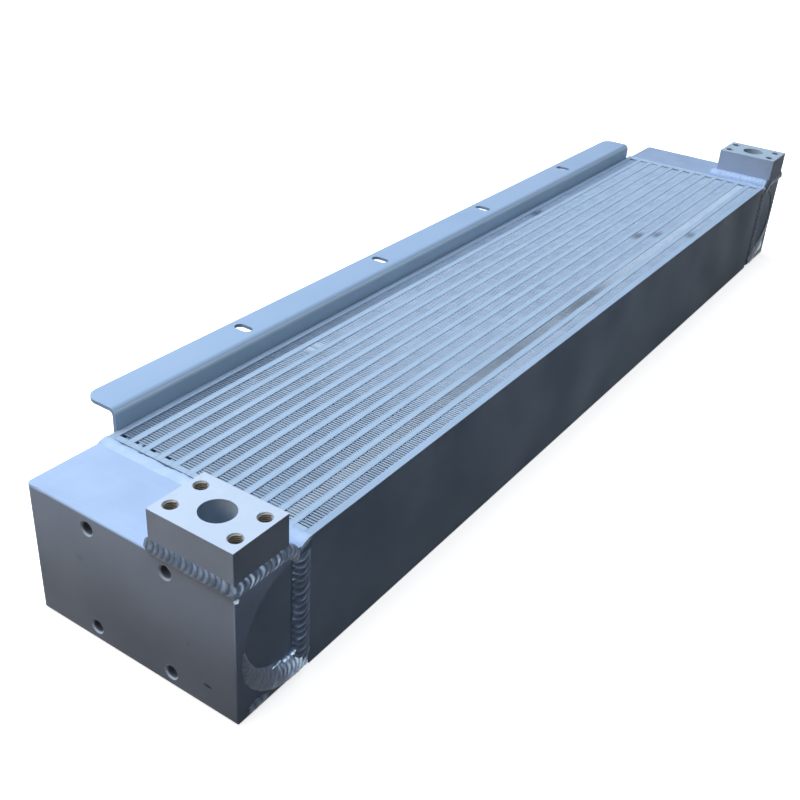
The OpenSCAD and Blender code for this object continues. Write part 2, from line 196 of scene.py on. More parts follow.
def worked_aluminium(name, colour, stain, metallic, rough, lines, grain, blotch, bump=0.12,
                     level=0.08, painted_low_shade=0.0, marks=(), soot_and_shade="#3A3B3F", shaded=False):
    """A finish. lines: (across mm, along mm, strength, axis). grain and blotch: (mm, strength).
    marks: (centre mm, reach mm, strength) of spots that darken it towards the dark colour, some
    stains and some painted shade; painted shade also darkens it low down. shaded: the mesh has a
    "shade" of its own, painted shade for dark valleys and painted highlights for glints."""
    material = bpy.data.materials.new(name)
    material.use_nodes = True
    tree = material.node_tree
    tree.nodes.clear()
    place = add(tree, "ShaderNodeTexCoord").outputs["Object"]
    across, along, line_strength, axis = lines
    stretch = [1000 / across] * 3
    stretch["XYZ".index(axis)] = 1000 / along
    stretched = add(tree, "ShaderNodeVectorMath", [place, stretch], operation="MULTIPLY")
    line = add(tree, "ShaderNodeTexNoise", {"Vector": stretched, "Scale": 1.0, "Detail": 3.0})
    fine = add(tree, "ShaderNodeTexNoise", {"Vector": place, "Scale": 1000 / grain[0], "Detail": 4.0,
                                            "Roughness": 0.6})
    soft_spots = add(tree, "ShaderNodeTexNoise", {"Vector": place, "Scale": 1000 / blotch[0],
                                                  "Detail": 3.0})
    spot = add(tree, "ShaderNodeMapRange", {"Value": soft_spots.outputs["Fac"], "From Min": 0.35,
                                            "From Max": 0.72, "To Min": 0.0, "To Max": blotch[1]})
    stained = add(tree, "ShaderNodeMix", {0: spot, 6: linear(colour), 7: linear(stain)}, data_type="RGBA")
    both = add(tree, "ShaderNodeMath", [line.outputs["Fac"], line_strength], operation="MULTIPLY")
    both = add(tree, "ShaderNodeMath", [fine.outputs["Fac"], grain[1], both], operation="MULTIPLY_ADD")
    half = (line_strength + grain[1]) / 2
    shade = add(tree, "ShaderNodeMapRange", {"Value": both, "From Min": half - 0.5, "From Max": half + 0.5,
                                             "To Min": 0.5, "To Max": 1.5}, clamp=False)
    toned = add(tree, "ShaderNodeMix", {0: 1.0, 6: stained.outputs[2], 7: shade}, data_type="RGBA",
                blend_type="MULTIPLY")
    # A bead's shade paints shade into its valleys and highlights onto its crests, which turn metallic.
    if shaded:
        shade = add(tree, "ShaderNodeAttribute", attribute_name="shade").outputs["Fac"]
        toned = add(tree, "ShaderNodeMix", {0: 1.0, 6: toned.outputs[2], 7: shade}, data_type="RGBA",
                    blend_type="MULTIPLY")
        metallic = add(tree, "ShaderNodeMapRange", {"Value": shade, "From Min": GLINT_FROM,
                                                    "From Max": GLINT_FULL, "To Min": metallic,
                                                    "To Max": GLINT_METAL})
    # Painted shade: darker towards the ground, fading out higher up.
    height = add(tree, "ShaderNodeSeparateXYZ", [place]).outputs[2]
    dark = add(tree, "ShaderNodeMapRange", {"Value": height, "From Min": PAINTED_SHADE_FULL_Z, "From Max": PAINTED_SHADE_END_Z,
                                            "To Min": painted_low_shade, "To Max": 0.0},
               interpolation_type="SMOOTHSTEP")
    # Each mark darkens a spot: some marks are stains, some are painted shade.
    for centre, reach, strength in marks:
        away = add(tree, "ShaderNodeVectorMath", [place, at(*centre)], operation="SUBTRACT")
        away = add(tree, "ShaderNodeVectorMath", [away, [1000 / r for r in reach]], operation="MULTIPLY")
        away = add(tree, "ShaderNodeVectorMath", [away], operation="LENGTH")
        stain_and_shade_spot = add(tree, "ShaderNodeMapRange", {"Value": away.outputs["Value"], "From Min": 0.2,
                                                  "From Max": 1.2, "To Min": strength, "To Max": 0.0},
                     interpolation_type="SMOOTHSTEP")
        dark = add(tree, "ShaderNodeMath", [dark, stain_and_shade_spot], operation="ADD", use_clamp=True)
    toned = add(tree, "ShaderNodeMix", {0: dark, 6: toned.outputs[2], 7: linear(soot_and_shade)}, data_type="RGBA")
    dull = add(tree, "ShaderNodeMapRange", {"Value": soft_spots.outputs["Fac"], "From Min": 0.3,
                                            "From Max": 0.7, "To Min": rough - 0.06,
                                            "To Max": rough + 0.08})
    relief = add(tree, "ShaderNodeBump", {"Strength": bump, "Distance": 0.0003, "Height": both})
    body = add(tree, "ShaderNodeBsdfPrincipled", {"Base Color": toned.outputs[2], "Metallic": metallic,
                                                  "Roughness": dull, "Specular IOR Level": level,
                                                  "Normal": relief})
    add(tree, "ShaderNodeOutputMaterial", [body])
    return material


print("grime fades out between", PAINTED_SHADE_FULL_Z * 1000, "and", PAINTED_SHADE_END_Z * 1000, "mm above the ground")

# %% [markdown]
# The tanks are lengths of extruded tube, and lines along the extrusion are the first thing that
# one sees on them. Their ends were faced with a mill, and got knocked and handled since.

# %% Finishes of the tanks
# Extruded tube: pale, slightly matt, with faint lines along the extrusion. Painted shade darkens it
# low down, and a faint painted shade lies over the near tank's front face.
extruded = worked_aluminium("extruded_aluminium_tank", "#AFC5E9", "#98AACB", 0.03, 0.5,
                            (1.2, 60, 0.10, "Y"), (0.8, 0.08), (45, 0.35), painted_low_shade=0.42,
                            marks=[((0, 0, 60), (75, 2, 60), 0.08)])
# Faced end: the end of the tube after the mill, greyer and flatter, with painted shade low down
# and the soft handling marks and one short scratch that the photograph shows.
faced = worked_aluminium("faced_aluminium_tank_end", "#A3B0C8", "#8F9CB4", 0.03, 0.5,
                         (1.2, 60, 0.08, "Y"), (0.8, 0.07), (45, 0.12), painted_low_shade=0.54,
                         marks=[((0, 25, 21), (5, 4.0, 1.5), 0.75), ((0, 104, 62), (20, 20, 22), 0.04),
                                ((0, 138, 68), (8, 5, 4), 0.10), ((0, 40, 48), (9, 2, 1.5), 0.15)])
# Painted shade: the far tank gets a darker copy of the tube's finish, for a duller sheen on top,
# where the sky is seen at a flatter angle.
painted_shade_far_tank = worked_aluminium("extruded_aluminium_far_tank_painted_shade", "#9CB1D1", "#8C9EBC", 0.03, 0.52,
                                (1.2, 60, 0.10, "Y"), (0.8, 0.08), (30, 0.45), painted_low_shade=0.42)
print("finishes of the tanks:", [m.name for m in bpy.data.materials][1:])

# %% [markdown]
# The port blocks were sawn from bar and milled flat on top, the flange and the side plates are
# rolled sheet, and the bars of the core went through the brazing oven, which leaves a pale bloom
# of flux. These differ from each other only a little in colour, but clearly in their fine lines.

# %% Finishes of the blocks, the sheets and the bars
# Milled block: the palest metal, with fine cutter lines.
milled = worked_aluminium("milled_aluminium_block", "#C7D4E9", "#B6C4DC", 0.04, 0.42,
                          (0.7, 40, 0.10, "X"), (0.9, 0.05), (30, 0.25))
# Painted shade: the far block gets a darker copy of the milled finish, for its duller sheen.
painted_shade_far_block = worked_aluminium("milled_aluminium_far_block_painted_shade", "#A9BDD2", "#9AAEC4", 0.04, 0.45,
                              (0.7, 40, 0.10, "X"), (0.9, 0.05), (30, 0.25))
# Bored hole: cut metal that sees little light, with a film of oil.
bored = worked_aluminium("bored_aluminium_port", "#B4C3D4", "#93A2B3", 0.04, 0.4,
                         (0.6, 30, 0.12, "Y"), (0.9, 0.06), (12, 0.3))
# Sawn side of a block: the same metal as the milled top, but rougher and duller.
sawn = worked_aluminium("sawn_aluminium_block", "#AEBCD2", "#98A6BD", 0.03, 0.55,
                        (0.9, 30, 0.14, "Y"), (0.9, 0.08), (30, 0.3), level=0.05)
# Rolled sheet: an even satin with faint streaks along the sheet.
rolled = worked_aluminium("rolled_aluminium_flange", "#9DB5D6", "#91A8C8", 0.04, 0.45,
                          (1.0, 200, 0.06, "X"), (0.8, 0.05), (90, 0.3))
# Leg of the flange: the same sheet in a paler copy, painted light for the light that the core's
# top throws up onto it.
leg_painted_bounce_light = worked_aluminium("flange_leg_painted_bounce_light", "#C9DEEC", "#BCD0DF", 0.03, 0.5,
                               (1.0, 200, 0.08, "X"), (0.8, 0.06), (60, 0.3))
# Side plate: rolled sheet that went through the brazing oven, a little more matt.
plate_finish = worked_aluminium("brazed_aluminium_plate", "#A9BEDA", "#9BAFC8", 0.03, 0.55,
                                (1.0, 150, 0.05, "X"), (0.9, 0.06), (60, 0.4), level=0.04)
# The same plate seen from in front, with painted shade that darkens it towards the far end. It
# goes on the front faces of the plates, the caps and the far tank.
painted_shade_plate_front = worked_aluminium("brazed_aluminium_plate_front_painted_shade", "#A9BEDA", "#9BAFC8", 0.03, 0.55,
                               (1.0, 150, 0.05, "X"), (0.9, 0.06), (60, 0.4), level=0.04,
                               marks=[((1060, 0, 55), (520, 60, 250), 0.5)])
# Core bars and sheets: matt and pale, with a bloom of brazing flux.
brazed = worked_aluminium("brazed_aluminium_bars", "#ADC2DC", "#98ADC8", 0.04, 0.5,
                          (0.8, 90, 0.14, "X"), (1.0, 0.14), (25, 0.35))
print("finishes so far:", len(bpy.data.materials) - 1)

# %% [markdown]
# Fin foil is a thin strip that was brazed all over, so it is pale and frosty. At the near end the
# eye looks deeper between the folds and the foil goes dark, which one wide spot of painted shade
# gives. Small dents show as dark spots of painted shade, and the second row from the front has a
# stain and a pale stretch.

# %% Finishes of the fins
FOIL_LINES, FOIL_GRAIN, FOIL_SOOT_AND_SHADE = (0.6, 12, 0.12, "Z"), (0.7, 0.18), "#22364F"
# Painted shade: the fins darken towards the near end, where the eye looks deeper between folds.
NEAR_END_PAINTED_SHADE = ((40, 90, 108), (310, 900, 90), 0.44)
# Painted shade: a dark spot at each of three dents in the fins.
DENT_PAINTED_SHADE = [((718, 55, 108), (15, 7, 6), 0.55), ((737, 40, 108), (13, 6, 6), 0.5),
         ((762, 11, 108), (13, 6, 6), 0.5)]
# Fin foil: thin strip, brazed, with an uneven frosty bloom, and painted shade at the near end and
# at the dents.
foil = worked_aluminium("brazed_fin_foil", "#CBDEF7", "#B1C5DF", 0.04, 0.45, FOIL_LINES, FOIL_GRAIN,
                        (18, 0.5), marks=[NEAR_END_PAINTED_SHADE] + DENT_PAINTED_SHADE, soot_and_shade=FOIL_SOOT_AND_SHADE)
# Painted shade: the back row lies in the shade of the flange, so it gets a darker copy of the foil,
# darkest towards the near end, and a spot of painted shade at a dent of its own.
shaded_foil = worked_aluminium("brazed_fin_foil_back_row_painted_shade", "#ABBEDA", "#97ABC8", 0.04, 0.45, FOIL_LINES,
                               FOIL_GRAIN, (18, 0.5), marks=[((70, 177, 108), (420, 60, 60), 0.62),
                                                             ((702, 174, 108), (15, 7, 6), 0.6)],
                               soot_and_shade=FOIL_SOOT_AND_SHADE)
# The lower strip of foil, seen between the crowns of the upper one, gets a darker copy of the foil:
# painted shade for the little light that reaches down there.
painted_shade_deep_foil = worked_aluminium("brazed_fin_foil_below_painted_shade", "#BFD2EB", "#AABDD8", 0.04, 0.5, FOIL_LINES,
                             FOIL_GRAIN, (18, 0.5), marks=[NEAR_END_PAINTED_SHADE] + DENT_PAINTED_SHADE, soot_and_shade=FOIL_SOOT_AND_SHADE)
# One row near the front came out paler than the rest from the middle on, with a stain before it.
pale_foil = worked_aluminium("brazed_fin_foil_pale_row", "#DBEAFE", "#C6D8F0", 0.04, 0.5, FOIL_LINES,
                             FOIL_GRAIN, (18, 0.4), marks=[((200, 25, 108), (400, 60, 60), 0.44),
                                                           ((523, 26, 108), (62, 8, 6), 0.40),
                                                           ((400, 26, 108), (110, 8, 6), 0.16)],
                             soot_and_shade=FOIL_SOOT_AND_SHADE)
print("dents in the foil at x:", [centre[0] for centre, reach, strength in DENT_PAINTED_SHADE])

# %% [markdown]
# A weld is melted metal that froze: smooth on its crests, with painted shade beside them and
# painted highlights on them. Those over the core's ends were brushed clean, those at the sides were
# not. A cut thread is fresh metal, but it holds oil, which makes it warm; where a hole lies in the
# dark its thread gets painted shade.

# %% Finishes of the welds and the threads
# Weld bead: melted and frozen metal, greyer than the plates, with painted shade in the valleys and
# painted highlights on the crests.
weld_metal = worked_aluminium("aluminium_weld_bead", "#A4BADC", "#90A6C8", 0.06, 0.30,
                              (0.8, 3, 0.10, "X"), (0.7, 0.12), (7, 0.5), bump=0.2, level=0.12, shaded=True)
# Side welds: the same metal, unbrushed and sooty, without any gloss.
sooty_weld = worked_aluminium("sooty_aluminium_weld_bead", "#A4BADC", "#90A6C8", 0.02, 0.5,
                              (0.8, 3, 0.10, "X"), (0.7, 0.12), (7, 0.5), bump=0.2, level=0.05, shaded=True)
# Cover pass over the core's ends: brushed clean after welding, as pale as the tank.
brushed_weld = worked_aluminium("brushed_aluminium_weld", "#AEC4E6", "#98AED0", 0.05, 0.45,
                                (0.9, 8, 0.10, "Y"), (0.9, 0.10), (12, 0.4), level=0.3)
# Cut thread: raw cut metal with some oil left in it, which makes it warm.
cut_thread = worked_aluminium("cut_aluminium_thread", "#A9A197", "#7C756D", 0.15, 0.38,
                              (0.5, 8, 0.1, "Z"), (0.6, 0.15), (6, 0.4), level=0.4)
# Thread in a hole that nothing lights: a darker copy of the cut thread, painted shade.
painted_shade_thread = worked_aluminium("aluminium_thread_in_painted_shade", "#6B7480", "#525A66", 0.1, 0.4,
                               (0.5, 8, 0.1, "Z"), (0.6, 0.15), (6, 0.4), level=0.2)
print("finishes:", [m.name for m in bpy.data.materials])

# %% [markdown]
# No edge of a real part is perfectly sharp. Sawing, milling and handling leave a small round, and
# that round catches the light as a thin bright line. Each plate, tank and block is a merged copy
# of its measured shape with a small bevel, which then stands for that shape.

# %% Plates, tanks and blocks with eased edges
HOLE_RADIUS, BLOCK_SINK, TANK_SINK, END_ROUND = 0.005, 0.0004, 0.0010, 0.0016
BORE_REACH, MOUTH_REACH, FLANGE_LEG_Z = 0.0128, 0.0075, 0.03
OTHER_FINISHES = {"machined_block": (bored, sawn), "tank_plate": (faced, milled, painted_shade_plate_front),
                  "side_plate": (painted_shade_plate_front,), "cap_plate": (painted_shade_plate_front,), "flange_sheet": (leg_painted_bounce_light,)}


def on_rim(edge, mouth):
    """Whether an edge lies on the rim of the tapped hole with this mouth."""
    return all(abs((v.co - mouth).length - HOLE_RADIUS) < 1e-4 for v in edge.verts)


def finish_number(face, name, slot, mouths, bore, end_x):
    """Which of its finishes a face gets: 0 is the piece's own, the others follow from the slot."""
    if slot == "machined_block" and abs(face.normal.z) < 0.5:
        return 1 if (face.center - bore).xy.length < BORE_REACH else 2
    if name == "far_tank_body" and face.normal.y < -0.9:
        return 3
    if slot == "tank_plate":
        by_mouth = any((face.center - mouth).length < MOUTH_REACH for mouth in mouths)
        if by_mouth and 0.3 < abs(face.normal.x) < 0.95:
            return 2
        return int(abs(face.center.x - end_x) < 0.0003 and abs(face.normal.x) > 0.9)
    if slot in ("side_plate", "cap_plate"):
        return int(face.normal.y < -0.9)
    return int(slot == "flange_sheet" and face.normal.y < -0.8 and face.center.z > FLANGE_LEG_Z)


def eased(name, nodes, radius, material, slot, mouths=(), bore=None, end_x=None):
    """A merged copy of some nodes with rounded edges, standing for them. Holes round the mouths get
    a countersink, and the corners of the outer end face get a larger round."""
    work = bmesh.new()
    for node in nodes:
        part = bmesh.new()
        part.from_mesh(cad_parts[node].data)
        bmesh.ops.remove_doubles(part, verts=part.verts, dist=2e-6)
        bmesh.ops.dissolve_limit(part, angle_limit=math.radians(1), verts=part.verts, edges=part.edges)
        bmesh.ops.recalc_face_normals(part, faces=part.faces)
        copy = bpy.data.meshes.new(node)
        part.to_mesh(copy)
        work.from_mesh(copy)
        part.free()
    rims = [edge for edge in work.edges if any(on_rim(edge, mouth) for mouth in mouths)]
    if rims:
        sink = TANK_SINK if bore is None else BLOCK_SINK
        bmesh.ops.bevel(work, geom=rims, offset=sink, segments=1, affect="EDGES", profile=0.5)
    if end_x is not None:
        at_end = [edge for edge in work.edges if all(abs(v.co.x - end_x) < 1e-5 for v in edge.verts)]
        corners = [edge for edge in at_end if len(edge.link_faces) == 2 and edge.calc_face_angle(0) > 1.2]
        bmesh.ops.bevel(work, geom=corners, offset=END_ROUND, segments=4, affect="EDGES", profile=0.5)
    mesh = bpy.data.meshes.new(name)
    work.to_mesh(mesh)
    work.free()
    mesh.polygons.foreach_set("use_smooth", [True] * len(mesh.polygons))
    mesh.set_sharp_from_angle(angle=math.radians(30))
    piece = bpy.data.objects.new(name, mesh)
    bpy.context.collection.objects.link(piece)
    bevel = piece.modifiers.new("eased", "BEVEL")
    bevel.width = radius / 1000
    bevel.segments = 2
    bevel.limit_method = "ANGLE"
    bevel.angle_limit = math.radians(50)
    bevel.harden_normals = True
    done = piece.evaluated_get(bpy.context.evaluated_depsgraph_get())
    piece.data = bpy.data.meshes.new_from_object(done)
    piece.modifiers.clear()
    piece.data.materials.clear()
    piece.data.materials.append(material)
    for other in OTHER_FINISHES.get(slot, ()):
        piece.data.materials.append(other)
    for face in piece.data.polygons:
        face.material_index = finish_number(face, name, slot, mouths, bore, end_x)
    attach(piece, "root")
    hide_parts(*nodes)
    return piece


print("rounds on edges in mm:", {"end face": END_ROUND * 1000, "tapped hole of a tank": TANK_SINK * 1000})

# %% [markdown]
# The holes have to be known before the pieces are made, because their mouths get a countersink.
# Eight lie in the blocks, in the flange pattern of a one inch port, and four in each end face.

# %% Where the holes are, and the pieces themselves
BOLTS_X, BOLTS_Y = 26.19, 52.37
PORT_X, PORT_Y = BLOCK_L / 2, BLOCK_W / 2
block_mouths, end_mouths = [], []
for far in (False, True):
    for dx in (-1, 1):
        for dy in (-1, 1):
            x = PORT_X + dx * BOLTS_X / 2
            block_mouths.append(at(LENGTH - x if far else x, PORT_Y + dy * BOLTS_Y / 2, BLOCK_TOP))
    end_mouths += [at(LENGTH if far else 0, y, z) for y in (57.5, 127.5) for z in (13.0, 96.5)]

oil_rows = ["oil_bars_%02d" % row for row in range(1, 12)]
caps = ["near_front_cap", "near_back_cap", "far_front_cap", "far_back_cap"]
near_port, far_port = at(PORT_X, PORT_Y, 0), at(LENGTH - PORT_X, PORT_Y, 0)
near_end_x, far_end_x = at(0, 0, 0).x, at(LENGTH, 0, 0).x
for name, nodes, radius, finish, slot, mouths, bore, end_x in (
        ("near_tank_body", ["near_tank"], 0.5, extruded, "tank_plate", end_mouths, None, near_end_x),
        ("far_tank_body", ["far_tank"], 0.5, painted_shade_far_tank, "tank_plate", end_mouths, None, far_end_x),
        ("tank_caps", caps, 0.4, plate_finish, "cap_plate", (), None, None),
        ("near_block", ["near_port_block"], 0.5, milled, "machined_block", block_mouths, near_port, None),
        ("far_block", ["far_port_block"], 0.5, painted_shade_far_block, "machined_block", block_mouths, far_port, None),
        ("front_plate", ["front_side_plate"], 0.5, plate_finish, "side_plate", (), None, None),
        ("back_plate", ["back_side_plate"], 0.5, plate_finish, "side_plate", (), None, None),
        ("flange", ["mounting_flange"], 0.5, rolled, "flange_sheet", (), None, None),
        ("passage_bars", oil_rows, 0.3, brazed, "core_bar", (), None, None),
        ("row_bars", ["near_air_bars", "far_air_bars"], 0.3, brazed, "core_bar", (), None, None)):
    made = eased(name, nodes, radius, finish, slot, mouths=mouths, bore=bore, end_x=end_x)
    print(name, len(made.data.polygons), "faces")

turbulators = [("oil_turbulator_%02d" % row, foil) for row in range(1, 12)]
for node, finish in [("parting_sheets", brazed)] + turbulators:
    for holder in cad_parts[node].material_slots:
        holder.material = finish

# %% [markdown]
# What repeats or follows a path is grown by Geometry Nodes: the fins, the weld beads and the
# threads. The export needs plain meshes, so one function names a tree's inputs, and another one
# sets its sizes, runs it on a start mesh and takes the result as a mesh of its own.

# %% Run a node tree as a plain mesh
def socket(tree, name, kind, value=None, out=False):
    """Gives a node tree one named input or output."""
    made = tree.interface.new_socket(name, in_out="OUTPUT" if out else "INPUT", socket_type=kind)
    if value is not None:
        made.default_value = value


def grown(name, tree, start, sizes):
    """Runs a Geometry Nodes tree on a start mesh, and returns the result as a plain mesh object."""
    piece = bpy.data.objects.new(name, start)
    bpy.context.collection.objects.link(piece)
    modifier = piece.modifiers.new(tree.name, "NODES")
    modifier.node_group = tree
    for item in tree.interface.items_tree:
        if item.item_type == "SOCKET" and item.in_out == "INPUT" and item.name in sizes:
            modifier[item.identifier] = sizes[item.name]
    done = piece.evaluated_get(bpy.context.evaluated_depsgraph_get())
    mesh = bpy.data.meshes.new_from_object(done)
    piece.modifiers.clear()
    piece.data = mesh
    return piece


print("node trees so far:", len(bpy.data.node_groups))

# %% [markdown]
# Grown parts are joined into one piece for each part of the cooler, and keep their finishes and
# their shade. Plain boxes of metal can be added where a weld or a plug is solid behind its face.

# %% Join what has grown
BOX_SHADE = 0.8


def joined(name, pieces, solids=(), slot="weld_bead"):
    """One mesh object from several, faces outwards. Solids are boxes, given by two corners in mm."""
    work = bmesh.new()
    finishes, shades = [], []
    for piece in pieces:
        first = len(work.faces)
        shade = piece.data.attributes.get("shade")
        shades += [value.value for value in shade.data] if shade else []
        if piece.data.materials[0] not in finishes:
            finishes.append(piece.data.materials[0])
        work.from_mesh(piece.data)
        work.faces.ensure_lookup_table()
        for face in work.faces[first:]:
            face.material_index = finishes.index(piece.data.materials[0])
        bpy.data.objects.remove(piece)
    for low, high in solids:
        low, high = at(*low), at(*high)
        block = bmesh.ops.create_cube(work, size=1.0)
        for vertex in block["verts"]:
            vertex.co = Vector([low[i] + (vertex.co[i] + 0.5) * (high[i] - low[i]) for i in range(3)])
    bmesh.ops.recalc_face_normals(work, faces=work.faces)
    mesh = bpy.data.meshes.new(name)
    work.to_mesh(mesh)
    work.free()
    result = bpy.data.objects.new(name, mesh)
    bpy.context.collection.objects.link(result)
    for finish in finishes:
        mesh.materials.append(finish)
    if shades:
        shades += [BOX_SHADE] * (len(mesh.vertices) - len(shades))
        for stale in [layer for layer in mesh.attributes if layer.name == "shade"]:
            mesh.attributes.remove(stale)
        mesh.attributes.new("shade", "FLOAT", "POINT").data.foreach_set("value", shades)
    mesh.polygons.foreach_set("use_smooth", [slot == "weld_bead"] * len(mesh.polygons))
    mesh.set_sharp_from_angle(angle=math.radians(55))
    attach(result, "root")
    return result


# %% [markdown]
# Each row of air fins is one strip of foil folded to and fro every 2.6 millimetres, and 340 folds
# long. Nobody would place those by hand, so Geometry Nodes lay out one long path from named
# sizes. Four points make a wall: its number gives the place along the row, and the step within
# the wall gives the side. The fold's corners are cut off, as a bent foil's corners are round.

# %% The tree that folds a fin: its path
fold_tree = bpy.data.node_groups.new("folded_foil", "GeometryNodeTree")
FOLD_SIZES = {"Start X": 0.0, "Row Y": 0.0, "Row Width": 0.00925, "Half Pitch": 0.00267, "Corner": 0.0006,
              "Unevenness": 0.00012, "Foil": 0.0004, "Crown": 0.0007, "Lip": 0.0014, "Lip Wander": 0.0008,
              "Top Z": 0.1085, "Bottom Z": 0.001, "Lip Depth": 0.0002, "Shoulder": 0.0004}
socket(fold_tree, "Geometry", "NodeSocketGeometry", out=True)
FOLDS = 340
socket(fold_tree, "Folds", "NodeSocketInt", FOLDS)
socket(fold_tree, "Seed", "NodeSocketInt", 1)
for size_name, size in FOLD_SIZES.items():
    socket(fold_tree, size_name, "NodeSocketFloat", size)
for bend_name in ("Bend A", "Bend B"):
    socket(fold_tree, bend_name, "NodeSocketVector", (0.0, 0.01, 0.0))
socket(fold_tree, "Finish", "NodeSocketMaterial")
g = add(fold_tree, "NodeGroupInput").outputs
count = add(fold_tree, "ShaderNodeMath", [g["Folds"], 4.0], operation="MULTIPLY")
line = add(fold_tree, "GeometryNodeMeshLine", {"Count": count})
path = add(fold_tree, "GeometryNodeMeshToCurve", [line])
index = add(fold_tree, "GeometryNodeInputIndex")
wall = add(fold_tree, "ShaderNodeMath", [index, 4.0], operation="DIVIDE")
wall = add(fold_tree, "ShaderNodeMath", [wall], operation="FLOOR")
step = add(fold_tree, "ShaderNodeMath", [index, 4.0], operation="MODULO")
odd = add(fold_tree, "ShaderNodeMath", [wall, 2.0], operation="MODULO")
jitter = add(fold_tree, "FunctionNodeRandomValue", {2: -0.5, 3: 0.5, 7: wall, 8: g["Seed"]},
             data_type="FLOAT")
up_first = add(fold_tree, "ShaderNodeMath", [step, 1.5], operation="GREATER_THAN")
edge_step = add(fold_tree, "ShaderNodeMath", [step, 1.5], operation="SUBTRACT")
outer = add(fold_tree, "ShaderNodeMath", [edge_step], operation="ABSOLUTE")
outer = add(fold_tree, "ShaderNodeMath", [outer, 1.0], operation="GREATER_THAN")
inner = add(fold_tree, "ShaderNodeMath", [1.0, outer], operation="SUBTRACT")
side = add(fold_tree, "ShaderNodeMath", [up_first, 2.0, -1.0], operation="MULTIPLY_ADD")
corner_share = add(fold_tree, "ShaderNodeMath", [g["Corner"], g["Row Width"]], operation="DIVIDE")
half_rise = add(fold_tree, "ShaderNodeMath", [inner, corner_share], operation="MULTIPLY")
half_rise = add(fold_tree, "ShaderNodeMath", [0.5, half_rise], operation="SUBTRACT")
across = add(fold_tree, "ShaderNodeMath", [side, half_rise], operation="MULTIPLY")
flip = add(fold_tree, "ShaderNodeMath", [odd, -2.0, 1.0], operation="MULTIPLY_ADD")
across_y = add(fold_tree, "ShaderNodeMath", [across, flip], operation="MULTIPLY")
share_y = add(fold_tree, "ShaderNodeMath", [across_y, 0.5], operation="ADD")
corner_x = add(fold_tree, "ShaderNodeMath", [side, outer], operation="MULTIPLY")
corner_x = add(fold_tree, "ShaderNodeMath", [corner_x, g["Corner"]], operation="MULTIPLY")
wall_middle = add(fold_tree, "ShaderNodeMath", [wall, 0.5], operation="ADD")
wall_x = add(fold_tree, "ShaderNodeMath", [wall_middle, g["Half Pitch"], g["Start X"]],
             operation="MULTIPLY_ADD")
even_x = add(fold_tree, "ShaderNodeMath", [wall_x, corner_x], operation="ADD")
x = add(fold_tree, "ShaderNodeMath", [jitter.outputs[1], g["Unevenness"], even_x], operation="MULTIPLY_ADD")
usable = add(fold_tree, "ShaderNodeMath", [g["Row Width"], g["Foil"]], operation="SUBTRACT")
y = add(fold_tree, "ShaderNodeMath", [share_y, usable, g["Row Y"]], operation="MULTIPLY_ADD")
y = add(fold_tree, "ShaderNodeMath", [g["Foil"], 0.5, y], operation="MULTIPLY_ADD")
place = add(fold_tree, "ShaderNodeCombineXYZ", [x, y, 0.0])
folded = add(fold_tree, "GeometryNodeSetPosition", {"Geometry": path, "Position": place})
print("points on the path of one strip:", 4 * FOLDS)

# %% [markdown]
# A wall of foil is then swept along the path. Its section is a loop of eight points, and which
# point of the loop a vertex came from says how high it goes: to the top, to a lip just under it,
# to a shoulder, or down to the bottom of the core.

# %% The tree that folds a fin: its section
spine = add(fold_tree, "GeometryNodeCaptureAttribute")
spine.capture_items.new("VECTOR", "Place")
spine.capture_items.new("VECTOR", "Along")
spine.capture_items.new("FLOAT", "On Wall")
fold_tree.links.new(inner.outputs[0], spine.inputs["On Wall"])
fold_tree.links.new(folded.outputs[0], spine.inputs["Geometry"])
fold_tree.links.new(add(fold_tree, "GeometryNodeInputPosition").outputs[0], spine.inputs["Place"])
fold_tree.links.new(add(fold_tree, "GeometryNodeInputTangent").outputs[0], spine.inputs["Along"])
section = add(fold_tree, "GeometryNodeCaptureAttribute")
section.capture_items.new("INT", "Corner Number")
fold_tree.links.new(add(fold_tree, "GeometryNodeCurvePrimitiveCircle", {"Resolution": 8}).outputs[0],
                    section.inputs["Geometry"])
fold_tree.links.new(add(fold_tree, "GeometryNodeInputIndex").outputs[0], section.inputs["Corner Number"])
swept = add(fold_tree, "GeometryNodeCurveToMesh", {"Curve": spine.outputs["Geometry"],
                                                   "Profile Curve": section.outputs["Geometry"],
                                                   "Fill Caps": True})
number = section.outputs["Corner Number"]
thick_side = add(fold_tree, "ShaderNodeMath", [number, 3.5], operation="GREATER_THAN")
thick_side = add(fold_tree, "ShaderNodeMath", [thick_side, -1.0, 0.5], operation="MULTIPLY_ADD")
level = add(fold_tree, "GeometryNodeIndexSwitch", data_type="FLOAT")
for _ in range(6):
    level.index_switch_items.new()
shoulder_z = add(fold_tree, "ShaderNodeMath", [g["Top Z"], g["Shoulder"]], operation="SUBTRACT")
lip_z = add(fold_tree, "ShaderNodeMath", [g["Top Z"], g["Lip Depth"]], operation="SUBTRACT")
downwards = [g["Top Z"], lip_z.outputs[0], shoulder_z.outputs[0], g["Bottom Z"]]
for item, source in enumerate(downwards + downwards[::-1]):
    fold_tree.links.new(source, level.inputs[item + 1])
fold_tree.links.new(number, level.inputs[0])
print("heights round the section:", len(downwards + downwards[::-1]))

# %% [markdown]
# Last come the marks of use. Two bends push the tops over and down where something knocked them,
# unevenly, while the rest of the strip keeps its place. The upper edge is flattened into a lip that
# is wider than the foil, because that is what catches the light from above, and its width drifts.

